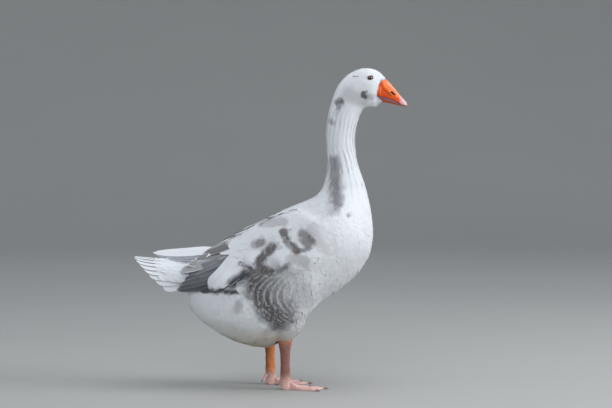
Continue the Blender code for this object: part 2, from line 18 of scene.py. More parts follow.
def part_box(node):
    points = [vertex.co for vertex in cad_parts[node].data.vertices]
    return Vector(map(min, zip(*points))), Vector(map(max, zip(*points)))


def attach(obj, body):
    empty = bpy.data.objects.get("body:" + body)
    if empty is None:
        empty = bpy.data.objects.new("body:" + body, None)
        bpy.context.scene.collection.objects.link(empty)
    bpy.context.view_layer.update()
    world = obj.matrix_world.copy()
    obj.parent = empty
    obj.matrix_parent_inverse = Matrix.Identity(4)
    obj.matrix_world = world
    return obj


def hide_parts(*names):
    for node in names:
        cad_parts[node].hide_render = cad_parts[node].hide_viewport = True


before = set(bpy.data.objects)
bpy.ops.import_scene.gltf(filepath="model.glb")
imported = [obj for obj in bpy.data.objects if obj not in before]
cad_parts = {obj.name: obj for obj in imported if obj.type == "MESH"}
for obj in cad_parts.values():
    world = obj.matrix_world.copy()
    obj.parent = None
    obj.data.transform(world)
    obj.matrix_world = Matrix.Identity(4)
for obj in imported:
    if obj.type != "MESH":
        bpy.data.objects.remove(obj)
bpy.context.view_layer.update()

MM = 0.001
SIDES = {"right": -1, "left": 1}
FLESH = ("rump", "trunk", "breast", "neck_lower", "neck_middle", "neck_upper", "head")
PAIRED_FLESH = ("thigh", "wing")
SPINE = ("head", "neck_upper", "neck_middle", "neck_lower", "breast", "trunk", "rump", "tail")

# The lie of the coat: a node and a place on it (shares along, out and up), the way the feathers point, then
# feather length and width and the coat's depth in mm. Between these places everything blends.
LIE = [
    ("head", (0.98, 0, 0.8), (-0.6, 0, 0.8), 5, 2.1, 1.6),  # forehead
    ("head", (0.75, 0, 1), (-1, 0, 0.2), 6, 2.4, 2),  # crown
    ("head", (0.3, 0, 0.95), (-0.9, 0, -0.45), 7.8, 3, 2.4),
    ("head", (0.05, 0, 0.6), (-0.6, 0, -0.8), 9.6, 3.4, 2.8),  # nape
    ("head", (0.92, 0.7, 0.45), (-1, 0, 0.1), 4.8, 2, 1.4),  # lore
    ("head", (0.84, 0.7, 0.12), (-1, 0, -0.1), 5, 2.1, 1.5),  # cheek by the gape
    ("head", (0.62, 1, 0.75), (-1, 0, 0.05), 5, 2.1, 1.5),  # round the eye
    ("head", (0.4, 1, 0.6), (-0.95, 0, -0.3), 6.6, 2.5, 2.2),  # ear
    ("head", (0.6, 1, 0.3), (-0.95, 0, -0.3), 6.2, 2.4, 2),  # cheek
    ("head", (0.7, 0, 0), (-1, 0, 0), 5.5, 2.2, 1.8),  # chin
    ("neck_upper", (0.5, 1, 0.8), (-0.5, 0, -0.85), 9.6, 3.3, 2.8),
    ("neck_upper", (1, 0, 0.6), (-0.4, 0, -0.9), 9.6, 3.3, 2.8),
    ("neck_upper", (0, 0, 0.4), (-0.15, 0, -1), 11.4, 3.6, 3.2),
    ("neck_middle", (0.5, 1, 0.5), (0, 0, -1), 14.4, 4.1, 3.6),
    ("neck_lower", (0.4, 1, 0.5), (0.05, 0, -1), 16, 8, 4.5),
    ("neck_lower", (1, 0, 0.4), (0.15, 0, -1), 16, 8, 4.5),
    ("neck_lower", (0, 0, 0.2), (-0.3, 0, -1), 18, 9, 5),
    ("breast", (0.6, 1, 0.5), (-0.55, 0, -0.85), 26, 14, 7),
    ("breast", (1, 0, 0.55), (-0.05, 0, -1), 23, 12, 6.5),
    ("breast", (0.6, 0, 0.1), (-0.9, 0, -0.45), 27, 15, 8),
    ("breast", (0.1, 0.3, 0.9), (-0.9, 0, -0.45), 26, 15, 6),  # mantle
    ("trunk", (0.6, 0.1, 0.92), (-0.9, 0, -0.45), 33, 20, 6),
    ("trunk", (0.2, 0.1, 0.7), (-0.87, 0, -0.5), 38, 22, 6),
    ("wing", (0.98, 1, 0.5), (-0.8, 0, -0.55), 25, 16, 6),  # bend of the wing
    ("wing", (0.8, 0.7, 0.9), (-0.9, 0, -0.45), 29, 18, 6),
    ("wing", (0.6, 1, 0.55), (-0.88, 0, -0.48), 38, 24, 6),
    ("wing", (0.6, 1, 0.25), (-0.85, 0, -0.45), 32, 21, 6),
    ("wing", (0.25, 1, 0.45), (-0.85, 0, -0.52), 48, 27, 5),
    ("wing", (0.3, 0.4, 0.8), (-0.88, 0, -0.48), 42, 24, 5.5),
    ("trunk", (0.55, 1, 0.38), (-1, 0, -0.05), 34, 24, 8),  # flank
    ("trunk", (0.6, 1, 0.52), (-0.93, 0, 0.3), 32, 24, 8),
    ("trunk", (0.62, 1, 0.2), (-0.85, 0, -0.5), 32, 22, 8),
    ("trunk", (0.95, 0.8, 0.3), (-0.75, 0, -0.65), 28, 19, 7.5),
    ("thigh", (0.5, 1, 0.35), (-0.4, 0, -0.9), 20, 12, 5),
    ("thigh", (0.5, 0.7, 0), (0, 0, -1), 12, 6, 2.5),
    ("trunk", (0.4, 0, 0), (-1, 0, -0.05), 28, 16, 8),  # belly
    ("trunk", (0.85, 0, 0.1), (-0.9, 0, -0.4), 26, 16, 8),
    ("trunk", (0.05, 0.5, 0.2), (-0.9, 0, 0.35), 30, 18, 8),
    ("rump", (0.3, 0.5, 0.2), (-0.85, 0, 0.5), 34, 19, 7),  # vent
    ("rump", (0, 0, 0.45), (-1, 0, 0.35), 38, 20, 6),
    ("rump", (0.2, 1, 0.6), (-1, 0, 0.05), 34, 20, 6),
    ("rump", (0.3, 0, 1), (-0.95, 0, -0.3), 36, 21, 5.5),
    ("tail", (0.8, 0, 1), (-1, 0, 0.3), 36, 20, 3.5),
    ("tail", (0.8, 0, 0), (-0.9, 0, 0.45), 36, 19, 3.5),
]

# Grey marks, with a painted shadow under the wing and painted shade on the cheek among them: a node, the line
# each follows (shares along and up), its reach in mm, how dark it is, and how slaty rather than brown. They
# are the same on skin and coat.
MARKS = [
    ("wing", [(0.63, 0.71), (0.66, 0.6), (0.73, 0.5)], 8, 0.85, 0.1),
    ("wing", [(0.75, 0.49), (0.84, 0.52)], 4.5, 0.65, 0.3),
    ("wing", [(0.83, 0.67), (0.87, 0.58)], 4.5, 0.6, 0.4),
    ("wing", [(0.78, 0.68), (0.8, 0.62), (0.82, 0.59)], 12, 0.68, 0.15),
    ("wing", [(0.41, 0.56), (0.47, 0.59)], 8, 0.7, 0.3),
    ("wing", [(0.55, 0.54), (0.5, 0.47), (0.44, 0.38), (0.45, 0.3), (0.53, 0.25)], 9, 0.88, 0.2),
    ("wing", [(0.5, 0.38), (0.55, 0.33)], 13, 0.3, 0.4),
    ("wing", [(0.3, 0.34), (0.39, 0.29)], 4, 0.9, 0.8),
    ("wing", [(0.59, 0.26), (0.65, 0.31)], 5, 0.75, 0.6),
    ("wing", [(0.68, 0.4), (0.8, 0.37)], 11, 0.35, 0.3),
    ("wing", [(0.46, 0.81), (0.63, 0.82)], 9, 0.35, 0.2),
    ("wing", [(0.11, 0.58), (0.17, 0.62), (0.24, 0.64)], 4, 0.8, 0.4),
    ("wing", [(0.06, 0.5), (0.2, 0.57)], 3.5, 0.7, 0.4),
    ("wing", [(0.88, 0.72), (0.96, 0.55)], 22, 0.22, 0.1),
    ("wing", [(0.3, 0.55), (0.85, 0.85)], 45, 0.17, 0.4),
    ("breast", [(0.42, 0.12), (0.6, 0.32)], 45, 0.16, 0.4),
    # A painted shadow on the trunk, just below the wing's lower edge.
    ("trunk", [(-0.04, 0.405), (0.05, 0.41), (0.13, 0.4), (0.2, 0.405), (0.3, 0.395)], 5, 0.9, 1),
    ("trunk", [(0.43, 0.5), (0.48, 0.38), (0.56, 0.27), (0.63, 0.2)], 21, 0.9, 0.35),
    ("trunk", [(0.56, 0.48), (0.64, 0.34), (0.7, 0.25)], 26, 0.7, 0.3),
    ("trunk", [(0.76, 0.47), (0.84, 0.38), (0.82, 0.26)], 26, 0.36, 0.25),
    ("trunk", [(0.38, 0.51), (0.27, 0.455)], 11, 0.95, 1),
    ("trunk", [(0.38, 0.4), (0.39, 0.37)], 8, 0.45, 0.2),
    ("trunk", [(0.32, 0.32), (0.3, 0.28)], 8, 0.4, 0.2),
    ("thigh", [(0.45, 0.6), (0.5, 0.35)], 20, 0.15, 0.2),
    ("thigh", [(0.66, 0.39), (0.68, 0.38)], 4, 0.8, 0.3),
    ("neck_lower", [(0.17, 0.9), (0.2, 0.45), (0.24, 0.15)], 12, 0.6, 0.7),
    ("breast", [(0.33, 0.92), (0.31, 0.74)], 13, 0.35, 0.5),
    ("breast", [(0.55, 0.7), (0.56, 0.69)], 4, 0.5, 0.1),
    ("neck_upper", [(0.13, 0.35), (0.15, 0.29)], 4.5, 0.45, 0.4),
    ("neck_upper", [(0.38, 0.9), (0.33, 0.8)], 6, 0.55, 0.6),
    ("neck_upper", [(0.4, 0.98), (0.26, 0.88)], 4, 0.4, 0.6),
    ("neck_upper", [(0.3, 0.7), (0.27, 0.62)], 6, 0.15, 0.4),
    ("head", [(0.07, 0.14), (0.13, 0.21), (0.18, 0.16)], 4.5, 0.6, 0.5),
    ("head", [(0.55, 0.37), (0.56, 0.3), (0.6, 0.27)], 4.2, 0.85, 0.6),
    ("head", [(0.62, 0.4), (0.58, 0.37)], 2.6, 0.5, 0.6),
    # Painted shade low on the cheek, below the eye.
    ("head", [(0.62, 0.27), (0.72, 0.26)], 6.5, 0.3, 0.6),
    ("head", [(0.3, 0.35), (0.55, 0.2)], 14, 0.25, 0.5),
    ("head", [(0.375, 0.785), (0.47, 0.78)], 0.9, 0.7, 0.8),
]


def box(node):
    low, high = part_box(node)
    return np.array(low), np.array(high)


def place(node, along, out, up, side="right"):
    """A point from shares of a node's box: from its rear, out from the body's middle and up from its foot."""
    low, high = box(f"{node}_{side}" if node in PAIRED_FLESH else node)
    reach = max(abs(low[1]), abs(high[1]))
    x, z = low[0] + along * (high[0] - low[0]), low[2] + up * (high[2] - low[2])
    return np.array((x, SIDES[side] * out * reach, z))


def shares_in(node, points):
    """Where points are in a node's box, as shares of its length, width and height."""
    low, high = box(node)
    return ((points - low) / (high - low)).T


def both(*parts):
    """The names of the right and the left nodes of paired parts."""
    return tuple(f"{part}_{side}" for part in parts for side in SIDES)


def mix(a, b, t):
    return a + (b - a) * t


def smooth(low, high, x):
    t = np.clip((x - low) / (high - low), 0, 1)
    return t * t * (3 - 2 * t)


def unit(vectors):
    return vectors / np.maximum(np.linalg.norm(vectors, axis=-1, keepdims=True), 1e-12)


def noise(points, size, seed):
    """Smooth noise from -1 to 1 at the points, with lumps about size across."""
    p = points / size + 31.7 * seed
    cell = np.floor(p).astype(np.int64)
    f = p - cell
    f = f * f * (3 - 2 * f)
    total = 0.0
    for corner in np.ndindex(2, 2, 2):
        key = (cell + corner) @ np.array((73856093, 19349663, 83492791))
        key = (key ^ (key >> 13)) * 1274126177
        value = ((key ^ (key >> 16)) & 0xFFFF) / 32767.5 - 1
        share = np.where(np.array(corner) == 1, f, 1 - f).prod(axis=-1)
        total = total + value * share
    return total


def batches(points):
    """Slices of the points that are small enough to compare with every anchor at once."""
    return [slice(first, first + 20000) for first in range(0, len(points), 20000)]


def away_from(flat, line):
    """The distance of flat places from a line of points."""
    line = np.array(line, float)
    away = np.full(len(flat), np.inf)
    for a, b in zip(line, line[1:]):
        t = np.clip((flat - a) @ (b - a) / ((b - a) @ (b - a)), 0, 1)
        away = np.minimum(away, np.linalg.norm(flat - a - t[:, None] * (b - a), axis=1))
    return away


def stroke(flat, line, reach, soft):
    """1 on a line, and 0 from reach away from it."""
    return 1 - smooth(reach * (1 - soft), reach, away_from(flat, line))


def tint(red, green, blue):
    """A screen colour from 0 to 255 as the linear colour that a shader takes."""
    screen = np.array((red, green, blue)) / 255
    return (*(((screen + 0.055) / 1.055) ** 2.4), 1.0)


# --- Meshes ---


def quad_mesh(name, points, quads):
    mesh = bpy.data.meshes.new(name)
    mesh.vertices.add(len(points))
    mesh.vertices.foreach_set("co", points.astype(np.float32).ravel())
    mesh.loops.add(quads.size)
    mesh.loops.foreach_set("vertex_index", quads.astype(np.int32).ravel())
    mesh.polygons.add(len(quads))
    mesh.polygons.foreach_set("loop_start", np.arange(0, quads.size, 4, dtype=np.int32))
    mesh.update(calc_edges=True)
    mesh.shade_smooth()
    return mesh


def new_object(name, mesh, material=None):
    obj = bpy.data.objects.new(name, mesh)
    bpy.context.scene.collection.objects.link(obj)
    if material:
        mesh.materials.append(material)
    return obj


def finished(name, mesh, material, replaced=()):
    """A visible piece of the goose."""
    piece = new_object(name, mesh, material)
    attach(piece, "root")
    if replaced:
        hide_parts(*replaced)
    return piece


def vectors_of(collection, name):
    values = np.empty(len(collection) * 3, np.float32)
    collection.foreach_get(name, values)
    return values.reshape(-1, 3).astype(float)


def vertices_of(mesh):
    return vectors_of(mesh.vertices, "co")


def normals_of(mesh):
    return vectors_of(mesh.vertex_normals, "vector")


def corners_of(mesh):
    """The vertex at each corner of the mesh's faces."""
    corner = np.empty(len(mesh.loops), np.int32)
    mesh.loops.foreach_get("vertex_index", corner)
    return corner


def joined(name, meshes):
    """Meshes put together as a new one."""
    bm = bmesh.new()
    for mesh in meshes:
        bm.from_mesh(mesh)
    whole = bpy.data.meshes.new(name)
    bm.to_mesh(whole)
    bm.free()
    return whole


def set_vertices(mesh, points):
    mesh.vertices.foreach_set("co", points.astype(np.float32).ravel())
    mesh.update()


def paint(mesh, **layers):
    """Stores one value for all vertices, or a value, vector or colour for each, for the materials to read."""
    for name, values in layers.items():
        values = np.asarray(values, np.float32)
        if values.ndim == 0:
            values = np.full(len(mesh.vertices), values)
        width = 1 if values.ndim == 1 else values.shape[1]
        kind, key = {1: ("FLOAT", "value"), 3: ("FLOAT_VECTOR", "vector"), 4: ("FLOAT_COLOR", "color")}[width]
        mesh.attributes.new(name, kind, "POINT").data.foreach_set(key, values.ravel())


def set_uv(mesh, uv):
    """The bake's UV map, from one place for each vertex."""
    layer = mesh.uv_layers.new(name="OFBake", do_init=False)
    layer.uv.foreach_set("vector", uv[corners_of(mesh)].astype(np.float32).ravel())


def tree_of(mesh):
    mesh.calc_loop_triangles()
    return BVHTree.FromPolygons([v.co for v in mesh.vertices], [t.vertices for t in mesh.loop_triangles])


def remeshed(name, nodes, voxel, rounds, grow):
    """CAD nodes grown by grow, joined into one closed surface and smoothed, as a new mesh."""
    bm = bmesh.new()
    for node_name in nodes:
        bm.from_mesh(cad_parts[node_name].data)
    bmesh.ops.remove_doubles(bm, verts=bm.verts, dist=1e-6)
    bm.normal_update()
    for vertex in bm.verts:
        vertex.co += vertex.normal * grow
    rough = bpy.data.meshes.new(name)
    bm.to_mesh(rough)
    bm.free()
    helper = new_object(name, rough)
    remesh = helper.modifiers.new("remesh", "REMESH")
    remesh.mode = "VOXEL"
    remesh.voxel_size = voxel
    smoother = helper.modifiers.new("relax", "SMOOTH")
    smoother.iterations = rounds
    graph = bpy.context.evaluated_depsgraph_get()
    mesh = bpy.data.meshes.new_from_object(helper.evaluated_get(graph))
    bpy.data.objects.remove(helper)
    mesh.shade_smooth()
    return mesh


def relax(mesh, chosen, rounds):
    """Smooths the chosen vertices of a mesh, which softens its creases."""
    bm = bmesh.new()
    bm.from_mesh(mesh)
    verts = [vertex for vertex, pick in zip(bm.verts, chosen) if pick]
    for _ in range(rounds):
        bmesh.ops.smooth_vert(bm, verts=verts, factor=0.5, use_axis_x=True, use_axis_y=True, use_axis_z=True)
    bm.to_mesh(mesh)
    bm.free()
    mesh.shade_smooth()


# --- The goose's form: surfaces, spine, head, lie and marks ---

eye_middles = {side: np.mean(box(f"eye_{side}"), axis=0) for side in SIDES}
head_middle = (eye_middles["left"] + eye_middles["right"]) / 2
head_across = unit(eye_middles["left"] - eye_middles["right"])
head_ahead = np.array((head_across[1], -head_across[0], 0))


def head_place(points):
    """Places in the head's own frame, in mm from the point between the eyes: ahead, to the left, and up."""
    local = (points - head_middle) / MM
    return local @ head_ahead, local @ head_across, local[:, 2]


flesh_nodes = FLESH + both(*PAIRED_FLESH)
covered_nodes = ("tail", "bill_upper", "bill_lower", "bill_nail") + both("eye", "shank")


def make_guide():
    """The surface that the feathers' tips reach: the CAD's nodes joined, with a fuller chin and nape."""
    mesh = remeshed("guide", flesh_nodes + covered_nodes, 2.5 * MM, 8, 0.4 * MM)
    points = vertices_of(mesh)
    ahead, _, up = head_place(points)
    chin = 4.4 * MM * np.exp(-(((ahead - 19) / 9) ** 2)) * (1 - smooth(-49, -43, up))
    nape = 3 * MM * np.exp(-((ahead + 64) ** 2 + (up + 20) ** 2) / 28**2)
    fuller = np.outer(nape, (0, 0, 0.6) - 0.8 * head_ahead) - np.outer(chin, (0, 0, 1))
    set_vertices(mesh, points + fuller)
    below_neck = points[:, 2] < box("breast")[1][2] - 20 * MM
    above_legs = points[:, 2] > box("thigh_right")[0][2] + 10 * MM
    ahead_of_tail = points[:, 0] > box("rump")[0][0] + 25 * MM
    relax(mesh, below_neck & above_legs & ahead_of_tail, 60)
    return mesh


guide = make_guide()
guide_tree = tree_of(guide)


def make_spine():
    """Points down the body's middle, from the head to the tail."""
    middles = [np.mean(box(node_name), axis=0) * (1, 0, 1) for node_name in SPINE]
    steps = np.linspace(0, 1, 12)
    return np.array([mix(a, b, t) for a, b in zip(middles, middles[1:]) for t in steps])


spine = make_spine()
spine_at = np.concatenate([[0], np.cumsum(np.linalg.norm(np.diff(spine, axis=0), axis=1))])
spine_ahead = unit(np.gradient(spine, axis=0))


def round_spine(points):
    """Where points are along the spine, from the head, and their angle round it: 0 above and pi below."""
    along, angle = np.empty(len(points)), np.empty(len(points))
    for batch in batches(points):
        part = points[batch]
        gap = part[:, None, (0, 2)] - spine[None, :, (0, 2)]
        near = (gap**2).sum(-1).argmin(1)
        ahead = spine_ahead[near]
        away = part - spine[near]
        back = away[:, 0] * ahead[:, 2] - away[:, 2] * ahead[:, 0]
        along[batch] = spine_at[near] + (away * ahead).sum(1)
        angle[batch] = np.arctan2(part[:, 1], back)
    return along, angle


# The bill's features, in mm ahead of and above the point between the eyes. The edge of the face's feathers
# has its height first.
FACE_EDGE = [(-54, 29), (-48, 27), (-42, 19.5), (-38, 17), (-24, 19.8), (-5, 24.5)]
CULMEN_EDGE = [(24.5, -5), (39, -2)]
TOMIUM = [(16, -38.3), (23.5, -40.1), (34.8, -42.3), (46, -45.4), (53.6, -49.2), (64.9, -54.5)]
MOUTH = [(15, -41), (27, -43.3), (39.5, -47.3), (52, -52.5), (65, -56.3), (77, -58.9)]
NOSTRIL = [(47.6, -30.6), (53.6, -35.6)]
NOSTRIL_LIP = [(46, -27.6), (54.5, -34)]
FOLD = [(29, -6), (33.6, -17.6), (41, -25.5), (48, -35.5), (58, -39)]
REAR_GROOVE = [(25.6, -5), (25.2, -14), (29.5, -24), (40, -32.5), (47, -38)]
REAR_FOLDS = [[(21.4, -16), (20.6, -30)], [(25, -21), (24.4, -36)]]


def on_face(points, margin):
    """Whether points on the head lie under its feathers, and not on the bill."""
    ahead, _, up = head_place(points)
    edge = np.interp(up, *zip(*FACE_EDGE)) + margin
    brow = np.interp(ahead, *zip(*CULMEN_EDGE)) - margin
    return (ahead < edge) | ((up > brow) & (ahead < CULMEN_EDGE[-1][0] + margin))


def lie_anchors():
    rows = []
    for node_name, (along, out, up), way, length, width, depth in LIE:
        for side in SIDES if out else ("right",):
            spot = place(node_name, along, out, up, side)
            rows.append((*spot, *unit(np.array(way, float)), length * MM, width * MM, depth * MM))
    return np.array(rows)


ANCHORS = lie_anchors()


def lie(points):
    """The way feathers point at each point, their length and width, and the coat's depth."""
    blended = np.empty((len(points), 6))
    for batch in batches(points):
        gap = ((points[batch][:, None] - ANCHORS[None, :, :3]) ** 2).sum(-1)
        share = 1 / (gap + (8 * MM) ** 2) ** 2
        share /= share.sum(1, keepdims=True)
        blended[batch] = share @ ANCHORS[:, 3:]
    return unit(blended[:, :3]), blended[:, 3], blended[:, 4], blended[:, 5]


def marks(points):
    """How grey the plumage is at each point, its painted shadow and shade included, and how slaty that grey
    is.
    """
    dark, slaty = np.zeros(len(points)), np.zeros(len(points))
    ripple = 1 + 0.25 * noise(points, 9 * MM, 3)
    streaks = 1 + 0.6 * noise(points * (1, 1, 0.2), 4 * MM, 4)
    for side, sign in SIDES.items():
        mine = points[:, 1] * sign > -4 * MM
        for node_name, line, reach, strength, slate in MARKS:
            ends = np.array([place(node_name, along, 0, up, side)[[0, 2]] for along, up in line])
            if side == "left":
                ends = ends + (5 * MM, -4 * MM)
            away = away_from(points[:, [0, 2]], ends)
            uneven = streaks if "neck" in node_name else ripple
            crisp = node_name == "wing" or reach < 4.4
            edge = 0.9 if reach > 40 else (0.3 if crisp else 0.6)
            amount = strength * (1 - smooth(1 - edge, 1 + edge, away / (reach * MM * uneven))) * mine
            slaty = np.where(amount > dark, slate, slaty)
            dark = 1 - (1 - dark) * (1 - np.clip(amount * 1.08, 0, 1))
    return dark, slaty


def flank_bands(points):
    """How pale points are from the long bowed bands that the flank feathers' edges make, from 0 to 1."""
    ahead, _, above = (points - place("trunk", 0.48, 0, 0.37)).T
    bowed = ahead - 17 * above**2 + 1.5 * MM * noise(points, 20 * MM, 21)
    line = smooth(0.45, 1.0, np.cos(2 * np.pi * bowed / (13.5 * MM)))
    there = smooth(-32 * MM, -8 * MM, ahead) * (1 - smooth(70 * MM, 90 * MM, ahead))
    patchy = 0.8 + 0.35 * noise(points, 12 * MM, 22)
    return line * patchy * there * smooth(-75 * MM, -45 * MM, above) * (1 - smooth(38 * MM, 52 * MM, above))


def dirt_and_shade_of(points):
    """Where the white plumage is darker and warmer, low on the belly and round the legs: partly dirt, partly
    painted shade under the body.
    """
    height = shares_in("trunk", points)[2] + 0.06 * noise(points, 25 * MM, 9)
    return 0.8 * (1 - smooth(0, 0.22, height))


def furrows(points):
    """How deep in a furrow of the neck points lie, from 0 to 1."""
    along, angle = round_spine(points)
    inside = smooth(0.04, 0.09, along) * (1 - smooth(0.19, 0.25, along))
    wander = 3.6 * noise(points * (1, 1, 0.6), 30 * MM, 5)
    wave = np.cos(0.5 * (20 * angle + 22 * along + wander))
    patchy = np.clip(0.65 + 0.7 * noise(points * (1, 1, 0.45), 13 * MM, 15), 0.1, 1)
    return inside * patchy * (1 - np.abs(wave)) ** 1.5


# --- Feathers ---

rng = np.random.default_rng(11)


def contour_outline(t):
    """Half-width of a body feather along its length, as a share."""
    return np.clip(t / 0.3 + 0.25, 0, 1) * np.sqrt(np.clip(1 - (np.clip(t - 0.6, 0, 1) / 0.41) ** 2.4, 0, 1))


def quill_outline(t, tip):
    """Half-width of a long feather: narrow at its quill, even further on, and round at its tip."""
    end = np.clip(t - tip, 0, 1) / (1.002 - tip)
    return np.clip(t / 0.14 + 0.12, 0, 1) ** 0.7 * np.sqrt(np.clip(1 - end**2, 0, 1))


def vane_quads(count, stations, ring):
    """The faces of closed vanes, whose stations are rings of points: their walls, then their two ends."""
    vane = np.arange(count)[:, None, None] * stations * ring
    first = vane + (np.arange(stations - 1) * ring)[:, None]
    i, j = np.arange(ring), (np.arange(ring) + 1) % ring
    walls = np.stack([first + i, first + i + ring, first + j + ring, first + j], axis=-1)
    fan = np.array([(0, k, k + 1, k + 2) for k in range(1, ring - 2, 2)])
    tips = vane + (stations - 1) * ring + fan[:, ::-1]
    return np.concatenate([faces.reshape(-1, 4) for faces in (walls, vane + fan, tips)])


def vanes(name, centres, normals, half, height, patches, patch, *, columns, camber, thick, twist, soft, fray):
    """Feathers as closed vanes, from (feathers, stations, 3) centre lines over a surface.

    Soft is how far their shading takes on the form of that surface, as downy plumage does, and fray is how
    ragged their tips are. Each has a patch of the bake's map round its place in patches.
    """
    count, stations, _ = centres.shape
    ring = columns + 1
    surface = normals[:, :, None]
    ahead = unit(np.gradient(centres, axis=1))
    normals = unit(normals - (normals * ahead).sum(-1, keepdims=True) * ahead)
    sideways = np.cross(normals, ahead)
    turn = np.broadcast_to(twist, (count,))[:, None, None]
    normals, sideways = (
        normals * np.cos(turn) + sideways * np.sin(turn),
        sideways * np.cos(turn) - normals * np.sin(turn),
    )
    across = np.linspace(-1, 1, columns)
    sink = (camber * across**2)[None, None] * half[..., None]
    top = centres[:, :, None] + sideways[:, :, None] * (half[..., None] * across)[..., None]
    top = top + normals[:, :, None] * (height[..., None] - sink)[..., None]
    last = np.linalg.norm(centres[:, -1] - centres[:, -2], axis=1) + half[:, -2]
    torn = rng.uniform(-fray, fray, (count, columns)) * last[:, None]
    for station, amount in ((-3, 0.6), (-2, 1.0), (-1, 1.0)):
        top[:, station] += (amount * torn)[..., None] * ahead[:, station, None]
    keel = centres + normals * (height - thick)[..., None]
    points = np.concatenate([top, keel[:, :, None]], axis=2)
    mesh = quad_mesh(name, points.reshape(-1, 3), vane_quads(count, stations, ring))
    own = np.empty((count, stations, ring, 3))
    own[..., 0] = np.append(across, 0)
    own[..., 1] = np.linspace(0, 1, stations)[None, :, None]
    own[..., 2] = rng.random(count)[:, None, None]
    paint(mesh, vane=own.reshape(-1, 3))
    uv = patches[:, None, None] + np.stack([own[..., 0] * 0.5, own[..., 1] - 0.5], axis=-1) * patch
    set_uv(mesh, uv.reshape(-1, 2))
    facing = unit(normals[:, :, None] + sideways[:, :, None] * (2 * camber * across)[None, None, :, None])
    share = soft * smooth(0.2, 0.7, (facing * surface).sum(-1, keepdims=True))
    shade_tops(mesh, unit(mix(facing, surface, share)))
    return mesh


def shade_tops(mesh, facing):
    """Shades the upper faces of vanes by the directions in facing, and leaves their other faces flat."""
    count, stations, columns, _ = facing.shape
    ring = columns + 1
    is_top = np.zeros(len(mesh.polygons), bool)
    walls = count * (stations - 1) * ring
    is_top[:walls] = np.tile(np.arange(ring) < columns - 1, count * (stations - 1))
    normals = np.repeat(vectors_of(mesh.polygon_normals, "vector"), 4, axis=0)
    top = np.repeat(is_top, 4)
    corner = corners_of(mesh)[top]
    normals[top] = facing.reshape(-1, columns, 3)[corner // ring, corner % ring]
    mesh.normals_split_custom_set(normals)


def project(points, tree):
    """The nearest surface points and the normals there."""
    found, normals = np.empty_like(points), np.empty_like(points)
    for n, point in enumerate(points):
        found[n], normals[n], _, _ = tree.find_nearest(point)
    return found, normals


def point_tree(points):
    tree = KDTree(len(points))
    for n, point in enumerate(points):
        tree.insert(point, n)
    tree.balance()
    return tree


def spread(points, spacing):
    """Which of the points to keep, so that none is closer to another than its spacing."""
    tree = point_tree(points)
    free, chosen = np.ones(len(points), bool), []
    for n, point in enumerate(points):
        if free[n]:
            chosen.append(n)
            for _, other, _ in tree.find_range(point, spacing[n]):
                free[other] = False
    return chosen


def sprinkle(mesh, spacing_of, keep):
    """Evenly spaced points on the part of a surface that keep allows."""
    mesh.calc_loop_triangles()
    corner = np.empty(len(mesh.loop_triangles) * 3, np.int32)
    mesh.loop_triangles.foreach_get("vertices", corner)
    corners = vertices_of(mesh)[corner.reshape(-1, 3)]
    corners = corners[keep(corners.mean(1))]
    spacing = spacing_of(corners.mean(1))
    area = np.linalg.norm(np.cross(corners[:, 1] - corners[:, 0], corners[:, 2] - corners[:, 0]), axis=1) / 2
    wanted = 5 * area / spacing**2
    picks = rng.choice(len(area), int(wanted.sum()), p=wanted / wanted.sum())
    u, v = rng.random((2, len(picks)))
    flip = u + v > 1
    u, v = np.where(flip, 1 - u, u), np.where(flip, 1 - v, v)
    a, b, c = corners[picks].transpose(1, 0, 2)
    points = a + u[:, None] * (b - a) + v[:, None] * (c - a)
    return points[spread(points, spacing[picks])]


def lay(roots, lengths, shares, tree):
    """Feather centre lines that follow the lie of the coat over a surface, and run straight over an edge."""
    centres, normals = np.empty((2, len(roots), len(shares), 3))
    here, normal = project(roots, tree)
    before = 0.0
    ahead = level(lie(here)[0], normal)
    for k, share in enumerate(shares):
        if k:
            step = (share - before) * lengths
            guess = here + ahead * step[:, None]
            found, facing = project(guess, tree)
            follows = ((facing * normal).sum(1) > 0.35) & (np.linalg.norm(found - guess, axis=1) < 0.9 * step)
            here = np.where(follows[:, None], found, mix(guess, found, 0.35))
            normal = np.where(follows[:, None], unit(mix(normal, facing, 0.8)), normal)
            way = level(lie(here)[0], normal)
            ahead = np.where(follows[:, None], unit(way + ahead), unit(here - centres[:, k - 1]))
        centres[:, k], normals[:, k] = here, normal
        before = share
    return centres, normals


def level(ways, normals):
    """The part of the directions that lies along a surface."""
    return unit(ways - (ways * normals).sum(-1, keepdims=True) * normals)


def unwrapped(points):
    """Places on an unwrap of the body round its spine, both from 0 to 1 with a margin."""
    along, angle = round_spine(points)
    uv = np.stack([angle, along], axis=1)
    margin = 0.02
    return margin + (1 - 2 * margin) * (uv - uv.min(0)) / (uv.max(0) - uv.min(0))


# Where along a body feather its stations are, and how wide its patch of the bake's map is.
FINE = (0, 0.45, 0.82, 1)
MEDIUM = (0, 0.35, 0.7, 0.9, 1)
LARGE = (0, 0.3, 0.55, 0.75, 0.88, 0.96, 0.99, 1)
TUFT_PATCH = 0.003


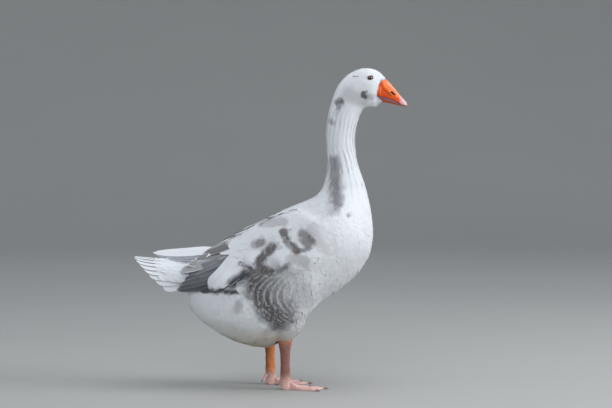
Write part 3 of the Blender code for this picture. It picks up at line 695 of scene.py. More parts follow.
def coat(name, roots, shares, columns, stretch=1.0, raised=0.0, rim=0.35, soft=0.6, uneven=0.12, rise=2.8):
    """One piece of the coat: a feather of the local size at each root.

    Their sizes differ by the share uneven, rim is how pale their edges are, and rise is how steeply they come
    up from the skin.
    """
    _, length, width, depth = lie(roots)
    count, shares = len(roots), np.array(shares)
    length = length * rng.uniform(1 - uneven, 1 + uneven, count) * stretch
    width = width * rng.uniform(0.9, 1.1, count) * stretch
    centres, normals = lay(roots, length, shares, guide_tree)
    half = width[:, None] / 2 * contour_outline(shares)
    lower = rng.uniform(-0.04, 0.0, count) * depth
    height = -depth[:, None] * (1 - shares) ** rise + raised + lower[:, None]
    in_furrow = furrows(centres.reshape(-1, 3)).reshape(height.shape)
    height = height - 1.8 * MM * in_furrow
    twist = rng.normal(0, 0.035, count)
    form = (name, centres, normals, half, height, unwrapped(roots), TUFT_PATCH)
    thick = 0.02 * width[:, None]
    mesh = vanes(*form, columns=columns, camber=0.08, thick=thick, twist=twist, soft=soft, fray=0.22)
    points = vertices_of(mesh)
    per_feather = len(points) // count
    here, at_tips = marks(points), marks(centres[:, -2])
    dark, slate = (mix(own, np.repeat(tip, per_feather), 0.3) for own, tip in zip(here, at_tips))
    # Painted shade in the neck's furrows, strongest at their bottoms.
    shade = np.repeat(in_furrow.ravel(), columns + 1)
    dark = dark * (1 - 0.55 * flank_bands(points))
    paint(mesh, mark=dark, slate=slate, rim=rim, stain=dirt_and_shade_of(points), shade=shade)
    finished(name, mesh, plumage)


# --- Materials ---


def new_material(name, **sockets):
    material = bpy.data.materials.new(name)
    material.use_nodes = True
    shader = material.node_tree.nodes["Principled BSDF"]
    for socket, value in sockets.items():
        shader.inputs[socket.replace("_", " ")].default_value = value
    return material, shader


def node(material, kind, settings=None, **inputs):
    """Adds a node. Its inputs go by name, or by number as in0 and in1, and get a value or a socket."""
    made = material.node_tree.nodes.new("ShaderNode" + kind)
    for key, value in (settings or {}).items():
        setattr(made, key, value)
    for key, value in inputs.items():
        socket = made.inputs[int(key[2:])] if key[:2] == "in" and key[2:].isdigit() else made.inputs[key]
        if isinstance(value, bpy.types.NodeSocket):
            material.node_tree.links.new(value, socket)
        else:
            socket.default_value = value
    return made


def stored(material, name, output="Fac"):
    """A value that paint() has stored."""
    return node(material, "Attribute", {"attribute_name": name}).outputs[output]


def calculate(material, operation, *values):
    inputs = {f"in{n}": value for n, value in enumerate(values)}
    return node(material, "Math", {"operation": operation}, **inputs).outputs[0]


def times(material, a, b):
    return calculate(material, "MULTIPLY", a, b)


def blend(material, factor, a, b, kind="MIX"):
    return node(material, "MixRGB", {"blend_type": kind}, Fac=factor, Color1=a, Color2=b).outputs[0]


def ramp(material, value, start, end, low=0.0, high=1.0):
    return node(material, "MapRange", in0=value, in1=start, in2=end, in3=low, in4=high).outputs[0]


def connect(material, output, shader, socket):
    material.node_tree.links.new(output, shader.inputs[socket])


def bump(material, shader, height, distance, strength):
    made = node(material, "Bump", Height=height, Distance=distance, Strength=strength)
    connect(material, made.outputs[0], shader, "Normal")


def cloud(material, scale, detail):
    spot = node(material, "TexCoord").outputs["Object"]
    return node(material, "TexNoise", Vector=spot, Scale=scale, Detail=detail).outputs["Fac"]


# The third is a warm grey for dirt and painted shade low on the belly.
WHITE, WHITE_SHADE, DIRT_AND_SHADE = tint(238, 240, 243), tint(222, 226, 232), tint(174, 161, 130)
BROWN_GREY, SLATE_GREY = tint(92, 85, 84), tint(64, 67, 74)


def plumage_material(name, barbs, shaft):
    """White plumage with grey marks: each vane's rim is paler, and its barbs run out from the shaft."""
    material, shader = new_material(name, Roughness=0.75, Sheen_Weight=0.1, Sheen_Roughness=0.5)
    shader.inputs["Specular IOR Level"].default_value = 0.25
    vane = node(material, "SeparateXYZ", in0=stored(material, "vane", "Vector")).outputs
    out = calculate(material, "ABSOLUTE", vane[0])
    side = ramp(material, out, 0.72, 0.98)
    side = times(material, side, ramp(material, vane[1], 0.5, 0.75, 0.3, 1.0))
    rim = calculate(material, "MAXIMUM", side, ramp(material, vane[1], 0.90, 0.98))
    pale = times(material, rim, stored(material, "rim"))
    inside = calculate(material, "SUBTRACT", 1.0, pale)
    mark = times(material, stored(material, "mark"), inside)
    white = blend(material, cloud(material, 38.0, 4.0), WHITE, WHITE_SHADE)
    # Darker and warmer low on the belly: partly dirt, partly painted shade.
    white = blend(material, stored(material, "stain"), white, DIRT_AND_SHADE)
    # Painted shade in the neck's furrows: a bluish grey laid over the white.
    shaded = times(material, stored(material, "shade"), 0.5)
    white = blend(material, shaded, white, tint(120, 126, 134))
    grey = blend(material, stored(material, "slate"), BROWN_GREY, SLATE_GREY)
    colour = blend(material, mark, white, grey)
    slant = calculate(material, "MULTIPLY_ADD", out, -0.16, vane[1])
    wave = calculate(material, "SINE", times(material, slant, barbs))
    colour = blend(material, 1.0, colour, calculate(material, "MULTIPLY_ADD", wave, 0.012, 0.988), "MULTIPLY")
    if shaft:
        near = ramp(material, out, 0.0, 0.07, 0.4, 0.0)
        colour = blend(material, near, colour, tint(190, 182, 170))
    connect(material, colour, shader, "Base Color")
    bump(material, shader, wave, 0.05 * MM, 0.3)
    return material


plumage = plumage_material("plumage", 150.0, False)
wing_plumage = plumage_material("wing_plumage", 520.0, True)


def painted_material(name, rough, grain, depth, **sockets):
    """Horn or bare skin in the colours painted on its mesh, with a fine mottling and grain."""
    material, shader = new_material(name, Roughness=rough, **sockets)
    colour = stored(material, "paint", "Color")
    mottle = ramp(material, cloud(material, grain / 4, 4.0), 0.3, 0.7, 0.86, 1.08)
    colour = blend(material, 1.0, colour, mottle, "MULTIPLY")
    connect(material, colour, shader, "Base Color")
    bump(material, shader, cloud(material, grain, 5.0), depth * MM, 0.5)
    return material


def coloured(base, *layers):
    """Paint for each vertex: a base colour with layers of (colour, amount) over it."""
    amounts = np.asarray(layers[0][1])
    paint_of = np.tile(np.array(base, float), (len(amounts), 1))
    for colour, amount in layers:
        paint_of = mix(paint_of, np.array(colour), np.clip(amount, 0, 1)[:, None])
    return paint_of


# --- Skin and coat ---

wing_trees = {side: tree_of(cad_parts[f"wing_{side}"].data) for side in SIDES}
leg_axes = {side: np.mean(box(f"shank_{side}"), axis=0)[:2] for side in SIDES}
HOCK_TOP = 121 * MM


def from_legs(points):
    """How far points are, seen from above, from the nearer leg's axis."""
    return np.minimum(*(np.linalg.norm(points[:, :2] - axis, axis=1) for axis in leg_axes.values()))


def make_skin():
    """One skin for all the flesh, inside the coat by its depth."""
    mesh = remeshed("skin", flesh_nodes, 3 * MM, 8, 0.4 * MM)
    points = vertices_of(mesh)
    points = points - normals_of(mesh) * (lie(points)[3] * 1.05)[:, None]
    lift = 0.85 * np.maximum(HOCK_TOP - points[:, 2], 0) * (1 - smooth(17 * MM, 22 * MM, from_legs(points)))
    lift = lift * smooth(33 * MM, 39 * MM, np.abs(points[:, 1]))
    points[:, 2] += lift
    set_vertices(mesh, points)
    dark, slate = marks(points)
    still = np.tile((0.0, 0.5, 0.5), (len(points), 1))
    paint(mesh, mark=dark, slate=slate, rim=0, stain=dirt_and_shade_of(points), shade=0, vane=still)
    finished("skin", mesh, plumage, flesh_nodes)


def clear_of_eyes(points):
    away = np.full(len(points), np.inf)
    for side in SIDES:
        away = np.minimum(away, np.linalg.norm(points - eye_frame(side)[0], axis=1))
    return away > 7.9 * MM


def covered_by_wing(points):
    """True under the long feathers of a wing, on its underside and along its lower edge."""
    along, _, up = shares_in("wing_right", points)
    quills = (along > 0) & (along < 0.34) & (up > 0.08) & (up < 0.56) & (np.abs(points[:, 1]) > 45 * MM)
    trees = [wing_trees["left" if point[1] > 0 else "right"] for point in points]
    nearest = [tree.find_nearest(point, 4 * MM) for tree, point in zip(trees, points)]
    on_wing = np.array([spot is not None for spot, *_ in nearest])
    faces_down = np.array([spot is not None and normal.z < -0.15 for spot, normal, *_ in nearest])
    low_edge = on_wing & (up < np.interp(along, (0.34, 0.56, 0.60), (0.38, 0.20, 0)))
    return quills | (faces_down & (along < 0.65)) | low_edge


def between_wings(points):
    """True on the inner faces of the wings' upper edges, which lie against the back."""
    x, y, z = points.T
    inward = project(points, guide_tree)[1][:, 1] * np.sign(y) < -0.2
    return inward & (np.abs(y) < 35 * MM) & (z > 240 * MM) & (x < 110 * MM)


def on_legs(points):
    border = HOCK_TOP - 2 * MM + 3 * MM * noise(points, 6 * MM, 8)
    return (points[:, 2] < border) & (from_legs(points) < 20 * MM) | (points[:, 2] < 84.5 * MM)


def on_tail_blade(points):
    """True on the part of the tail that its long feathers cover, which is longer below."""
    along, _, up = shares_in("tail", points)
    return along < np.where(up < 0.45, 1.12, 0.70)


def on_bill(points):
    return ~on_face(points, 1.0) & (head_place(points)[0] > 0) & (points[:, 2] > box("head")[0][2])


def bare_or_covered(points):
    """True where no body feathers grow."""
    tests = (covered_by_wing, between_wings, on_legs, on_tail_blade, on_bill)
    return np.any([test(points) for test in tests], axis=0)


def between(first, last, below=None):
    """A test for coated points between two distances along the spine, and above or below the body's sides."""

    def keep(points):
        along, angle = round_spine(points)
        inside = (along >= first) & (along < last) & clear_of_eyes(points) & ~bare_or_covered(points)
        if below is not None:
            inside &= (np.abs(angle) > 0.5 * math.pi) == below
        return inside

    return keep


HEAD_END, NECK_MIDDLE, NECK_END, BREAST_END = 0.062, 0.135, 0.215, 0.36


def make_coat():
    pieces = [
        ("coat_head", between(-1, HEAD_END), 0.36, FINE, 3),
        ("coat_neck_upper", between(HEAD_END, NECK_MIDDLE), 0.30, MEDIUM, 3),
        ("coat_neck_lower", between(NECK_MIDDLE, NECK_END), 0.25, MEDIUM, 3),
        ("coat_breast", between(NECK_END, BREAST_END), 0.27, LARGE, 5),
        ("coat_back", between(BREAST_END, 9, False), 0.25, LARGE, 5),
        ("coat_belly", between(BREAST_END, 9, True), 0.31, LARGE, 5),
    ]
    for name, keep, packing, shares, columns in pieces:
        roots = sprinkle(guide, lambda points: packing * np.sqrt(np.prod(lie(points)[1:3], axis=0)), keep)
        if name == "coat_head":
            roots = roots[clear_of_eyes(roots + lie(roots)[0] * 4.6 * MM)]
        coat(name, roots, shares, columns)


def make_flank():
    """Broad flank feathers in rows, set a little unevenly, for the flank's bands."""
    low, high = box("trunk")
    starts = []
    for side, sign in SIDES.items():
        for x in np.arange(0.30, 1.06, 0.052):
            for z in np.arange(0.20, 0.66, 0.034):
                at = Vector((mix(low[0], high[0], x), sign * 0.3, mix(low[2], high[2], z)))
                hit = guide_tree.ray_cast(at, Vector((0, -sign, 0)))[0]
                winged = wing_trees[side].ray_cast(at + Vector((0, 0, 5 * MM)), Vector((0, -sign, 0)))[0]
                if hit is not None and winged is None and hit.y * sign > 50 * MM:
                    starts.append(np.array(hit) + rng.normal(0, 0.7 * MM, 3))
    roots = project(np.array(starts), guide_tree)[0]
    coat("coat_flank", roots, LARGE, 7, 1.15, 0.6 * MM, rim=0.45, soft=0.4, uneven=0.015, rise=1.5)


# --- Long feathers ---

QUILL_SHARES = np.linspace(0, 1, 14) ** 0.6


def drape_surface():
    """The guide with the long feathers' CAD nodes, for laying quills over."""
    quills = [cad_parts[node_name].data for node_name in both("tertials", "primaries")]
    return tree_of(joined("drape", [guide, *quills]))


drape_tree = drape_surface()


def draped(flat, sign):
    """A centre line over the goose's side from its x and z, and the normals along it, both smooth."""
    shares, points, normals = [], [], []
    for n, (x, z) in enumerate(flat):
        hit, normal, _, _ = drape_tree.ray_cast(Vector((x, sign * 0.3, z)), Vector((0, -sign, 0)))
        if hit is not None and hit.y * sign > 0:
            shares.append(n / (len(flat) - 1))
            points.append(hit.y)
            normals.append(normal)
    t = np.linspace(0, 1, len(flat))
    degree = min(2, len(shares) - 1)
    y = np.polyval(np.polyfit(shares, points, degree), t)
    lines = [np.polyfit(shares, column, 1) for column in np.array(normals).T]
    normal = np.stack([np.polyval(line, t) for line in lines], axis=1)
    return np.column_stack([flat[:, 0], y, flat[:, 1]]), unit(normal)


# Rows of long wing feathers, lowest first. For the first and the last one of a row: their roots and tips
# (shares along and up the wing's box), widths and heights in mm, and how dark they are. For all of it: how
# slaty they are, how pale their rims, and where along a feather its tip starts to round.
SECONDARIES = (
    (9, ((0.64, 0.38), (0.27, 0.31)), ((0.43, 0.15), (-0.02, 0.01)), (24, 26), (-3, -2), (0.98, 0.98)),
    (0.9, 0.12, 0.75),
)
COVERTS = (
    (6, ((0.58, 0.45), (0.32, 0.56)), ((0.35, 0.22), (0.06, 0.045)), (31, 34), (-0.5, 1.2), (0, 0)),
    (0.3, 0.3, 0.84),
)
PRIMARIES = (
    (5, ((0.23, 0.21), (0.25, 0.47)), ((-0.2, 0.02), (-0.114, 0.217)), (21, 24), (-3, -1), (0.95, 0.8)),
    (1, 0.2, 0.7),
)
TERTIALS = (
    (4, ((0.21, 0.46), (0.33, 0.64)), ((-0.18, 0.24), (0, 0.43)), (25, 27), (-1, 1), (0.6, 0.9)),
    (0.3, 0.9, 0.7),
)
FAR_PRIMARIES = (
    (4, ((0.2, 0.16), (0.24, 0.3)), ((-0.06, 0), (-0.1, 0.04)), (22, 24), (-3, -1), (0.1, 0.05)),
    (1, 0.2, 0.7),
)
FAR_TERTIALS = (
    (4, ((0.22, 0.34), (0.28, 0.46)), ((-0.1, 0.06), (-0.12, 0.1)), (22, 24), (-1, 0), (0.12, 0.05)),
    (0.5, 0.6, 0.7),
)
FAR_WHITE_TIPS = (
    (5, ((0.16, 0.34), (0.28, 0.52)), ((-0.33, 0.34), (-0.404, 0.42)), (25, 22), (-1, 1), (0.06, 0)),
    (0.3, 0.3, 0.55),
)
WING_ROWS = {
    "right": (PRIMARIES, SECONDARIES, TERTIALS, COVERTS),
    "left": (FAR_PRIMARIES, SECONDARIES, FAR_TERTIALS, FAR_WHITE_TIPS, COVERTS),
}


def wing_row(side, count, roots, tips, widths, heights, tip):
    """Feathers side by side: everything goes evenly from the first to the last."""
    low, high = box(f"wing_{side}")
    low, size = low[[0, 2]], (high - low)[[0, 2]]
    rows = []
    for t in np.linspace(0, 1, count):
        start, end = (low + size * mix(np.array(a), np.array(b), t) for a, b in (roots, tips))
        line = start + (end - start) * QUILL_SHARES[:, None]
        aside = np.array((start[1] - end[1], end[0] - start[0]))
        line = line + aside * (0.03 * np.sin(np.pi * QUILL_SHARES))[:, None]
        centre, normal = draped(line, SIDES[side])
        if side == "left" and tips[0][0] < -0.3:
            normal = unit(mix(normal, np.array((0, -0.8, 0.6)), smooth(0.0, 0.5, QUILL_SHARES)[:, None]))
        height = (mix(*heights, t) - 4 * (1 - QUILL_SHARES) ** 2) * MM
        half = mix(*widths, t) * MM / 2 * quill_outline(QUILL_SHARES, tip)
        rows.append((centre, normal, half, height))
    return rows


def quill_piece(name, rows, looks, replaced):
    """Joins long feathers into one piece. Each gets its own patch of the bake's map."""
    centres, normals, half, height = (np.array(column) for column in zip(*rows))
    count = len(rows)
    across = math.ceil(math.sqrt(count))
    cells = np.stack([np.arange(count) % across, np.arange(count) // across], axis=1)
    patches = (cells + 0.5) / across
    form = (name, centres, normals, half, height, patches, 0.85 / across)
    mesh = vanes(*form, columns=7, camber=0.09, thick=0.5 * MM, twist=0.0, soft=0.25, fray=0.08)
    points = vertices_of(mesh)
    dark, slate, rim = (np.repeat(column, len(points) // count) for column in np.array(looks).T)
    spot_dark, spot_slate = marks(points)
    deeper = spot_dark > dark
    dark, slate = np.maximum(dark, spot_dark), np.where(deeper, spot_slate, slate)
    paint(mesh, mark=dark, slate=slate, rim=rim, stain=dirt_and_shade_of(points), shade=0)
    finished(name, mesh, wing_plumage, replaced)


def make_wings():
    for side, table in WING_ROWS.items():
        rows, looks = [], []
        for (count, roots, tips, widths, heights, darks), (slate, rim, tip) in table:
            rows.extend(wing_row(side, count, roots, tips, widths, heights, tip))
            looks.extend([(dark, slate, rim) for dark in np.linspace(*darks, count)])
        quill_piece(f"quills_{side}", rows, looks, (f"tertials_{side}", f"primaries_{side}"))


def make_tail():
    """The tail's fan, folded like a tent, its middle feathers on top."""
    low, high = box("tail")
    size = high - low
    rows, looks = [], []
    for v in sorted(np.linspace(-0.93, 0.93, 16), key=lambda v: -abs(v)):
        side = abs(v)
        turn = math.radians(100 * v)
        root = np.array((high[0] + 0.10 * size[0], 0.62 * high[1] * math.sin(turn), low[2] + 0.42 * size[2]))
        root[2] += 0.30 * size[2] * math.cos(turn)
        tip_x = low[0] + 0.65 * size[0] * side**2
        tip_z = high[2] - 0.84 * size[2] * side**1.9
        tip = np.array((tip_x, high[1] * math.sin(v * math.pi / 2), tip_z))
        line = root + (tip - root) * QUILL_SHARES[:, None]
        line[:, 2] += 0.05 * size[2] * np.sin(np.pi * QUILL_SHARES) * (1 - side)
        outward = unit(np.array((0.1, math.sin(v * 1.35), math.cos(v * 1.35))))
        height = ((1 - side) * 0.9 - 0.6) * MM * np.ones(len(QUILL_SHARES))
        half = (15.5 - 5 * side**4) * MM * quill_outline(QUILL_SHARES, 0.72)
        rows.append((line, np.tile(outward, (len(line), 1)), half, height))
        looks.append((0.03, 0.2, 0.2))
    quill_piece("tail_feathers", rows, looks, ("tail",))


# --- Bill, eyes and lids ---


def bill_zones(points, normals, part):
    """How much of each feature of the bill there is at each point, from 0 to 1."""
    ahead, _, up = head_place(points)
    flat = np.stack([ahead, up], axis=1)
    side = smooth(0.15, 0.6, np.abs(normals @ head_across)) * (part == "upper")
    above_mouth = up - np.interp(ahead, *zip(*MOUTH))
    under_edge = np.interp(ahead, *zip(*TOMIUM)) - up
    band = smooth(-1, 0.4, under_edge) * smooth(-0.8, 0.6, above_mouth - 0.6) * (ahead < 62) * side
    streak = smooth(0.1, 0.9, noise(points * (1, 1, 0.25), 1.6 * MM, 2))
    # How much the surface faces up and ahead, for the painted highlight on the bill's top.
    upward = normals[:, 2] + 0.35 * normals @ head_ahead
    return {
        "slit": stroke(flat, NOSTRIL, 2.9, 0.6) * side,
        # The nostril's raised rim, with a painted highlight on it.
        "lip": stroke(flat, NOSTRIL_LIP, 2.4, 0.7) * side,
        "fold": stroke(flat, FOLD, 4.5, 1) * side,
        "groove": stroke(flat, REAR_GROOVE, 2.6, 1) * side,
        "folds": sum(stroke(flat, line, 1.9, 1) for line in REAR_FOLDS) * side,
        "band": band,
        "ridges": band * (0.5 + 0.5 * np.sin(ahead * 2 * math.pi / 1.5)),
        "seam": stroke(flat, TOMIUM, 1.5, 1) * side,
        "mouth": stroke(flat, MOUTH, 1.3, 1),
        "hidden": on_face(points, -0.5) & (ahead < 45),
        "streak": streak * (1 - smooth(40, 50, ahead)),
        # A painted highlight on the upward-facing top of the bill's front, where light from above falls.
        "culmen_highlight": smooth(0.35, 0.95, upward) * smooth(26, 40, ahead),
        "tip": smooth(61, 70, ahead),
        "nail_tip": smooth(76, 80, ahead),
        "underside": smooth(2, 8, -above_mouth),
    }


# How high each feature of the bill stands, in mm.
BILL_RELIEF = dict(
    slit=-2.4, lip=0.5, fold=0.9, groove=-0.8, folds=0.5,
    band=-0.5, ridges=0.35, seam=-0.5, mouth=-0.9, hidden=-2,
)

# The colours of the bill's parts, with painted highlights on the bill's top and on the nostril's rim: a base,
# then each feature's colour and how strong it is.
BILL_COLOURS = {
    "upper": (
        (226, 80, 8),
        ("streak", (206, 62, 12), 0.55),
        ("fold", (250, 128, 40), 1),
        ("folds", (248, 150, 70), 0.7),
        ("groove", (176, 52, 16), 0.8),
        # Painted highlight along the top of the bill.
        ("culmen_highlight", (247, 176, 140), 0.85),
        # Painted highlight on the nostril's raised rim.
        ("lip", (238, 150, 118), 0.8),
        ("tip", (224, 180, 190), 0.8),
        ("band", (168, 138, 160), 1),
        ("seam", (88, 50, 58), 0.9),
        ("slit", (52, 14, 10), 1),
        ("mouth", (64, 30, 30), 0.8),
    ),
    "lower": (
        (206, 84, 42),
        ("underside", (158, 78, 52), 1),
        ("tip", (176, 110, 96), 1),
        ("mouth", (70, 32, 30), 0.8),
    ),
    "nail": (
        (232, 200, 204),
        ("nail_tip", (196, 138, 96), 1),
        ("mouth", (96, 56, 52), 0.7),
    ),
}


def make_bill():
    """The bill from its CAD nodes, with its nostrils, folds, grooves, ridged mouth edge and nail."""
    horn = painted_material("bill", 0.48, 900.0, 0.15, Specular_IOR_Level=0.3)
    nail = painted_material("bill_nail", 0.32, 700.0, 0.1)
    for part, (base, *layers) in BILL_COLOURS.items():
        name, node_name = f"horn_{part}", f"bill_{part}"
        mesh = remeshed(name, (node_name,), 0.65 * MM, 5, 0.2 * MM)
        points, normals = vertices_of(mesh), normals_of(mesh)
        zones = bill_zones(points, normals, part)
        relief = sum(height * zones[zone] for zone, height in BILL_RELIEF.items())
        relief += 0.12 * noise(points, 2.5 * MM, 6) + 0.15 * noise(points, 6 * MM, 7)
        set_vertices(mesh, points + normals * (relief * MM)[:, None])
        layers = [(tint(*colour), strength * zones[zone]) for zone, colour, strength in layers]
        paint(mesh, paint=coloured(tint(*base), *layers))
        material, slot = (nail, "bill_nail") if part == "nail" else (horn, "bill")
        finished(name, mesh, material, (node_name,))


def grid_mesh(name, rings):
    """A mesh from rings of points, each ring closed on itself."""
    count, around = len(rings), len(rings[0])
    first = (np.arange(count - 1) * around)[:, None]
    i, j = np.arange(around), (np.arange(around) + 1) % around
    quads = np.stack([first + i, first + j, first + j + around, first + i + around], axis=-1)
    return quad_mesh(name, np.concatenate(rings), quads.reshape(-1, 4))


def eye_frame(side):
    """An eye's middle and radius, and its own directions: ahead, up and outward."""
    low, high = box(f"eye_{side}")
    outward = unit(head_across * SIDES[side] + 0.16 * head_ahead + np.array((0, 0, 0.06)))
    upward = unit(np.array((0, 0, 1)) - outward[2] * outward)
    ahead = np.cross(upward, outward)
    if ahead @ head_ahead < 0:
        ahead = -ahead
    middle = eye_middles[side] + 2.2 * MM * ahead - 1.5 * MM * upward
    return middle, (high - low).min() / 2, ahead, upward, outward


def eye_material():
    """A dark brown iris round a black pupil, under a wet gloss."""
    material, shader = new_material("eye", Roughness=0.04, Coat_Weight=1.0, Coat_Roughness=0.02)
    polar = stored(material, "polar")
    iris = blend(material, cloud(material, 1500.0, 3.0), tint(58, 30, 18), tint(92, 50, 28))
    colour = blend(material, ramp(material, polar, 0.42, 0.50), tint(8, 7, 8), iris)
    colour = blend(material, ramp(material, polar, 0.80, 0.95), colour, tint(30, 17, 13))
    connect(material, colour, shader, "Base Color")
    return material


LID_HALF_LENGTH, LID_HALF_HEIGHT = 6.5 * MM, 3.5 * MM
# The rings of a lid, from its opening outwards: how far beyond the opening it is in radians, its distance
# from the eye's middle in radii, its share of the way round to the ball's side, and how bare it is.
LID_RINGS = [
    (-0.08, 0.99, 0, 1),
    (0, 1.02, 0, 1),
    (0.07, 1.05, 0, 1),
    (0.19, 1.05, 0, 0.9),
    (0.19, 1.035, 0.35, 0.25),
    (0.19, 1.02, 1, 0),
]


def make_eyes():
    wet = eye_material()
    theta = np.linspace(0, 2 * math.pi, 64, endpoint=False)
    tilted = theta + 0.10 * np.cos(theta)
    opening = np.hypot(LID_HALF_LENGTH * np.cos(theta), LID_HALF_HEIGHT * np.sin(tilted))
    opening = opening * (1 + 0.10 * np.abs(np.cos(theta)) ** 6)
    lid_meshes = []
    for side, sign in SIDES.items():
        middle, radius, ahead, upward, outward = eye_frame(side)
        round_axis = np.cos(theta)[:, None] * ahead + np.sin(theta)[:, None] * upward

        def ring(polar, reach):
            polar = np.broadcast_to(polar, (len(theta),))[:, None]
            return middle + reach * (np.sin(polar) * round_axis + np.cos(polar) * outward)

        polars = np.linspace(0.01, 2.4, 40)[::sign]
        bulge = 1 + 0.03 * np.clip(1 - polars / 0.9, 0, 1)
        ball = grid_mesh(f"eyeball_{side}", [ring(p, radius * b) for p, b in zip(polars, bulge)])
        paint(ball, polar=np.repeat(polars, len(theta)))
        finished(f"eyeball_{side}", ball, wet, (f"eye_{side}",))
        inner = np.arcsin(np.clip(opening / radius, 0, 0.98))
        rings = [ring(mix(inner + more, 1.5, out), radius * reach) for more, reach, out, _ in LID_RINGS]
        lid_meshes.append(grid_mesh("lid", rings[::sign]))
    lids = joined("eyelids", lid_meshes)
    lids.shade_smooth()
    bareness = [bare for *_, bare in LID_RINGS]
    bare = np.concatenate([np.repeat(bareness[::sign], len(theta)) for sign in SIDES.values()])
    mottled = 0.5 + 0.5 * noise(vertices_of(lids), 0.8 * MM, 3)
    lid = coloured(tint(156, 82, 64), (tint(108, 50, 38), mottled), (WHITE, 1 - bare))
    paint(lids, paint=lid)
    piece = finished("eyelids", lids, painted_material("eyelid", 0.5, 1400.0, 0.12))
    shell = piece.modifiers.new("thickness", "SOLIDIFY")
    shell.thickness = 0.3 * MM


# --- Legs and claws ---


def cells(points, spacing):
    """How far points are from the edges of an irregular net of cells, from 0 on an edge to 1 in a cell."""
    tree = point_tree(points[spread(points, np.full(len(points), spacing))])
    near = [[found[2] for found in tree.find_n(point, 2)] for point in points]
    first, second = np.array(near).T
    return smooth(0, 0.5 * spacing, second - first)


def leg_relief(points, normals, height, in_cell):
    """The scales, the plates down the front of the shank and the folds of the hock, in mm."""
    on_shank, hock = smooth(0.02, 0.2, height), smooth(0.72, 0.9, height)
    folds = hock * np.sin(2 * math.pi * (points[:, 2] / (4.2 * MM) + noise(points, 7 * MM, 2)))
    front = smooth(0.2, 0.8, normals[:, 0]) * on_shank * (1 - hock)
    plates = front * np.abs(np.sin(math.pi * points[:, 2] / (4.5 * MM))) ** 0.5
    return 0.35 * in_cell * (1 - front) + 0.6 * plates + 0.6 * folds + 0.6 * noise(points, 6 * MM, 5)


def leg_paint(side, points, normals, height, in_cell):
    """Pinkish, pale on the toes, with painted light and shade: darker on the shank's outer and rear faces, a
    lit orange on its inner faces, and darker along the ground behind the leg.
    """
    on_shank, hock = smooth(0.02, 0.2, height), smooth(0.72, 0.9, height)
    toes = 1 - smooth(-0.1, 0.25, height)
    ridge = smooth(0.55, 1.0, shares_in(f"foot_{side}", points)[0])
    streak = 0.5 + 0.5 * noise(points * (1, 1, 0.12), 2.5 * MM, 4)
    outward = normals[:, 1] * SIDES[side]
    # Painted shade by the ground, behind the leg's axis.
    ground_shade = (1 - smooth(0, 3 * MM, points[:, 2])) * (points[:, 0] < leg_axes[side][0])
    return coloured(
        tint(172, 112, 100),
        (tint(186, 124, 110), streak * (1 - toes)),
        # Painted shade on the shank's outer faces.
        (tint(112, 88, 86), 0.5 * smooth(0.4, 0.9, outward) * on_shank * (1 - hock)),
        # Painted light on the shank's inner faces: a lit orange.
        (tint(232, 140, 72), 0.9 * smooth(-0.35, 0.55, -outward) * on_shank),
        # Painted shade on the shank's rear faces, away from the light.
        (tint(150, 74, 52), 0.75 * smooth(0.1, 0.8, -normals[:, 0]) * on_shank),
        (tint(214, 150, 104), 0.7 * hock),
        (tint(246, 200, 192), 0.9 * toes),
        (tint(248, 214, 208), 0.5 * toes * ridge),
        (tint(110, 70, 62), 0.45 * (1 - in_cell) * (1 - 0.5 * toes)),
        # Painted shade along the ground behind the leg.
        (tint(120, 84, 72), 0.6 * ground_shade),
    )


def make_legs():
    """Shank, foot and hind toe in one scaly skin, stretched up so that the hock shows below the feathers."""
    skin = painted_material("leg_skin", 0.45, 900.0, 0.12)
    for side in SIDES:
        nodes = tuple(f"{part}_{side}" for part in ("shank", "foot", "hind_toe"))
        mesh = remeshed(f"leg_{side}", nodes, 0.85 * MM, 8, 0.35 * MM)
        points, normals = vertices_of(mesh), normals_of(mesh)
        height = shares_in(f"shank_{side}", points)[2]
        in_cell = cells(points, 2.5 * MM)
        points[:, 2] += 16 * MM * smooth(0.45, 1.0, height)
        swell = 0.34 * np.exp(-(((height - 0.86) / 0.14) ** 2))
        points[:, :2] = mix(leg_axes[side], points[:, :2], 1 + swell[:, None])
        relief = leg_relief(points, normals, height, in_cell)
        sole = smooth(0.3 * MM, 1.2 * MM, points[:, 2])
        points = points + normals * (relief * MM * sole - 0.3 * MM)[:, None]
        points[:, 2] = np.maximum(points[:, 2], 0)
        set_vertices(mesh, points)
        paint(mesh, paint=leg_paint(side, points, normals, height, in_cell))
        finished(f"leg_{side}", mesh, skin, nodes)


def make_claws():
    nodes = tuple(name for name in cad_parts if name.startswith("claw_"))
    mesh = remeshed("claws", nodes, 0.3 * MM, 4, 0.1 * MM)
    points = vertices_of(mesh)
    points[:, 2] = np.maximum(points[:, 2], 0)
    set_vertices(mesh, points)
    worn = 0.5 + 0.5 * noise(points, 1.5 * MM, 1)
    paint(mesh, paint=coloured(tint(178, 150, 138), (tint(126, 98, 88), worn)))
    finished("claws", mesh, painted_material("claw", 0.35, 1200.0, 0.1), nodes)


# --- Stage ---


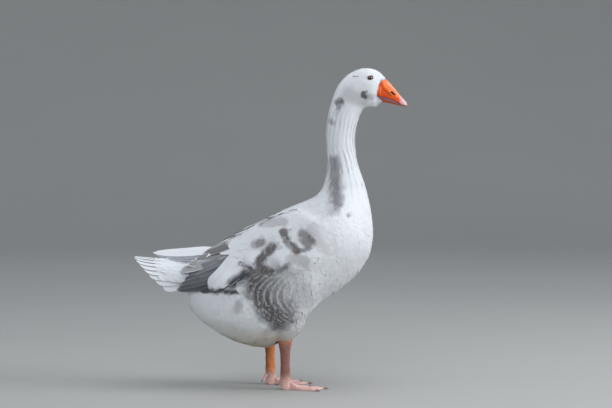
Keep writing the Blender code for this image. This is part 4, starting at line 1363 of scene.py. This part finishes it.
def make_stage():
    """A wide pale floor that curves up into a low wall all round."""
    material, shader = new_material("backdrop", Roughness=0.9)
    tone = blend(material, cloud(material, 0.8, 2.0), tint(168, 168, 166), tint(176, 176, 173))
    connect(material, tone, shader, "Base Color")
    profile = [(0.0005, 0), (4.6, 0), (5.1, 0.05), (5.5, 0.2), (5.8, 0.45), (6, 0.85), (6.1, 1.4), (6.1, 2.4)]
    turn = np.linspace(0, 2 * math.pi, 96, endpoint=False)
    rings = [np.stack([r * np.cos(turn), r * np.sin(turn), np.full(96, z)], axis=1) for r, z in profile]
    new_object("backdrop", grid_mesh("backdrop", rings), material)


def add_light(name, location, target, size, power, colour):
    light = bpy.data.lights.new(name, "AREA")
    light.shape = "RECTANGLE"
    light.size, light.size_y = size
    light.energy = power
    light.color = colour
    lamp = bpy.data.objects.new(name, light)
    lamp.location = location
    lamp.rotation_euler = (Vector(target) - Vector(location)).to_track_quat("-Z", "Y").to_euler()
    bpy.context.scene.collection.objects.link(lamp)


def make_light():
    world = bpy.data.worlds.new("world")
    world.use_nodes = True
    background = world.node_tree.nodes["Background"]
    background.inputs["Color"].default_value = (0.84, 0.91, 1.0, 1)
    background.inputs["Strength"].default_value = 0.58
    bpy.context.scene.world = world
    add_light("sky", (0.3, -0.3, 2.7), (0.05, 0, 0.3), (2.4, 2.0), 26, (1.0, 0.985, 0.965))
    add_light("front", (3.1, -0.7, 1.3), (0.05, 0, 0.35), (1.6, 1.4), 64, (0.97, 0.98, 1.0))
    add_light("fill", (-0.6, -3.2, 1.6), (0.0, 0, 0.3), (2.0, 1.6), 26, (0.96, 0.98, 1.0))
    bpy.context.scene.view_settings.view_transform = "Standard"


def make_camera():
    """A long lens at the goose's right side, a little above its back."""
    camera = bpy.data.cameras.new("camera")
    camera.lens = 105
    camera.sensor_width = 36
    obj = bpy.data.objects.new("camera", camera)
    obj.location = (0.074, -3.7485, 0.541)
    obj.rotation_euler = (math.radians(87.63), 0, 0)
    bpy.context.scene.collection.objects.link(obj)
    bpy.context.scene.camera = obj


make_camera()
make_light()
make_stage()
make_skin()
make_coat()
make_flank()
make_wings()
make_tail()
make_bill()
make_eyes()
make_legs()
make_claws()
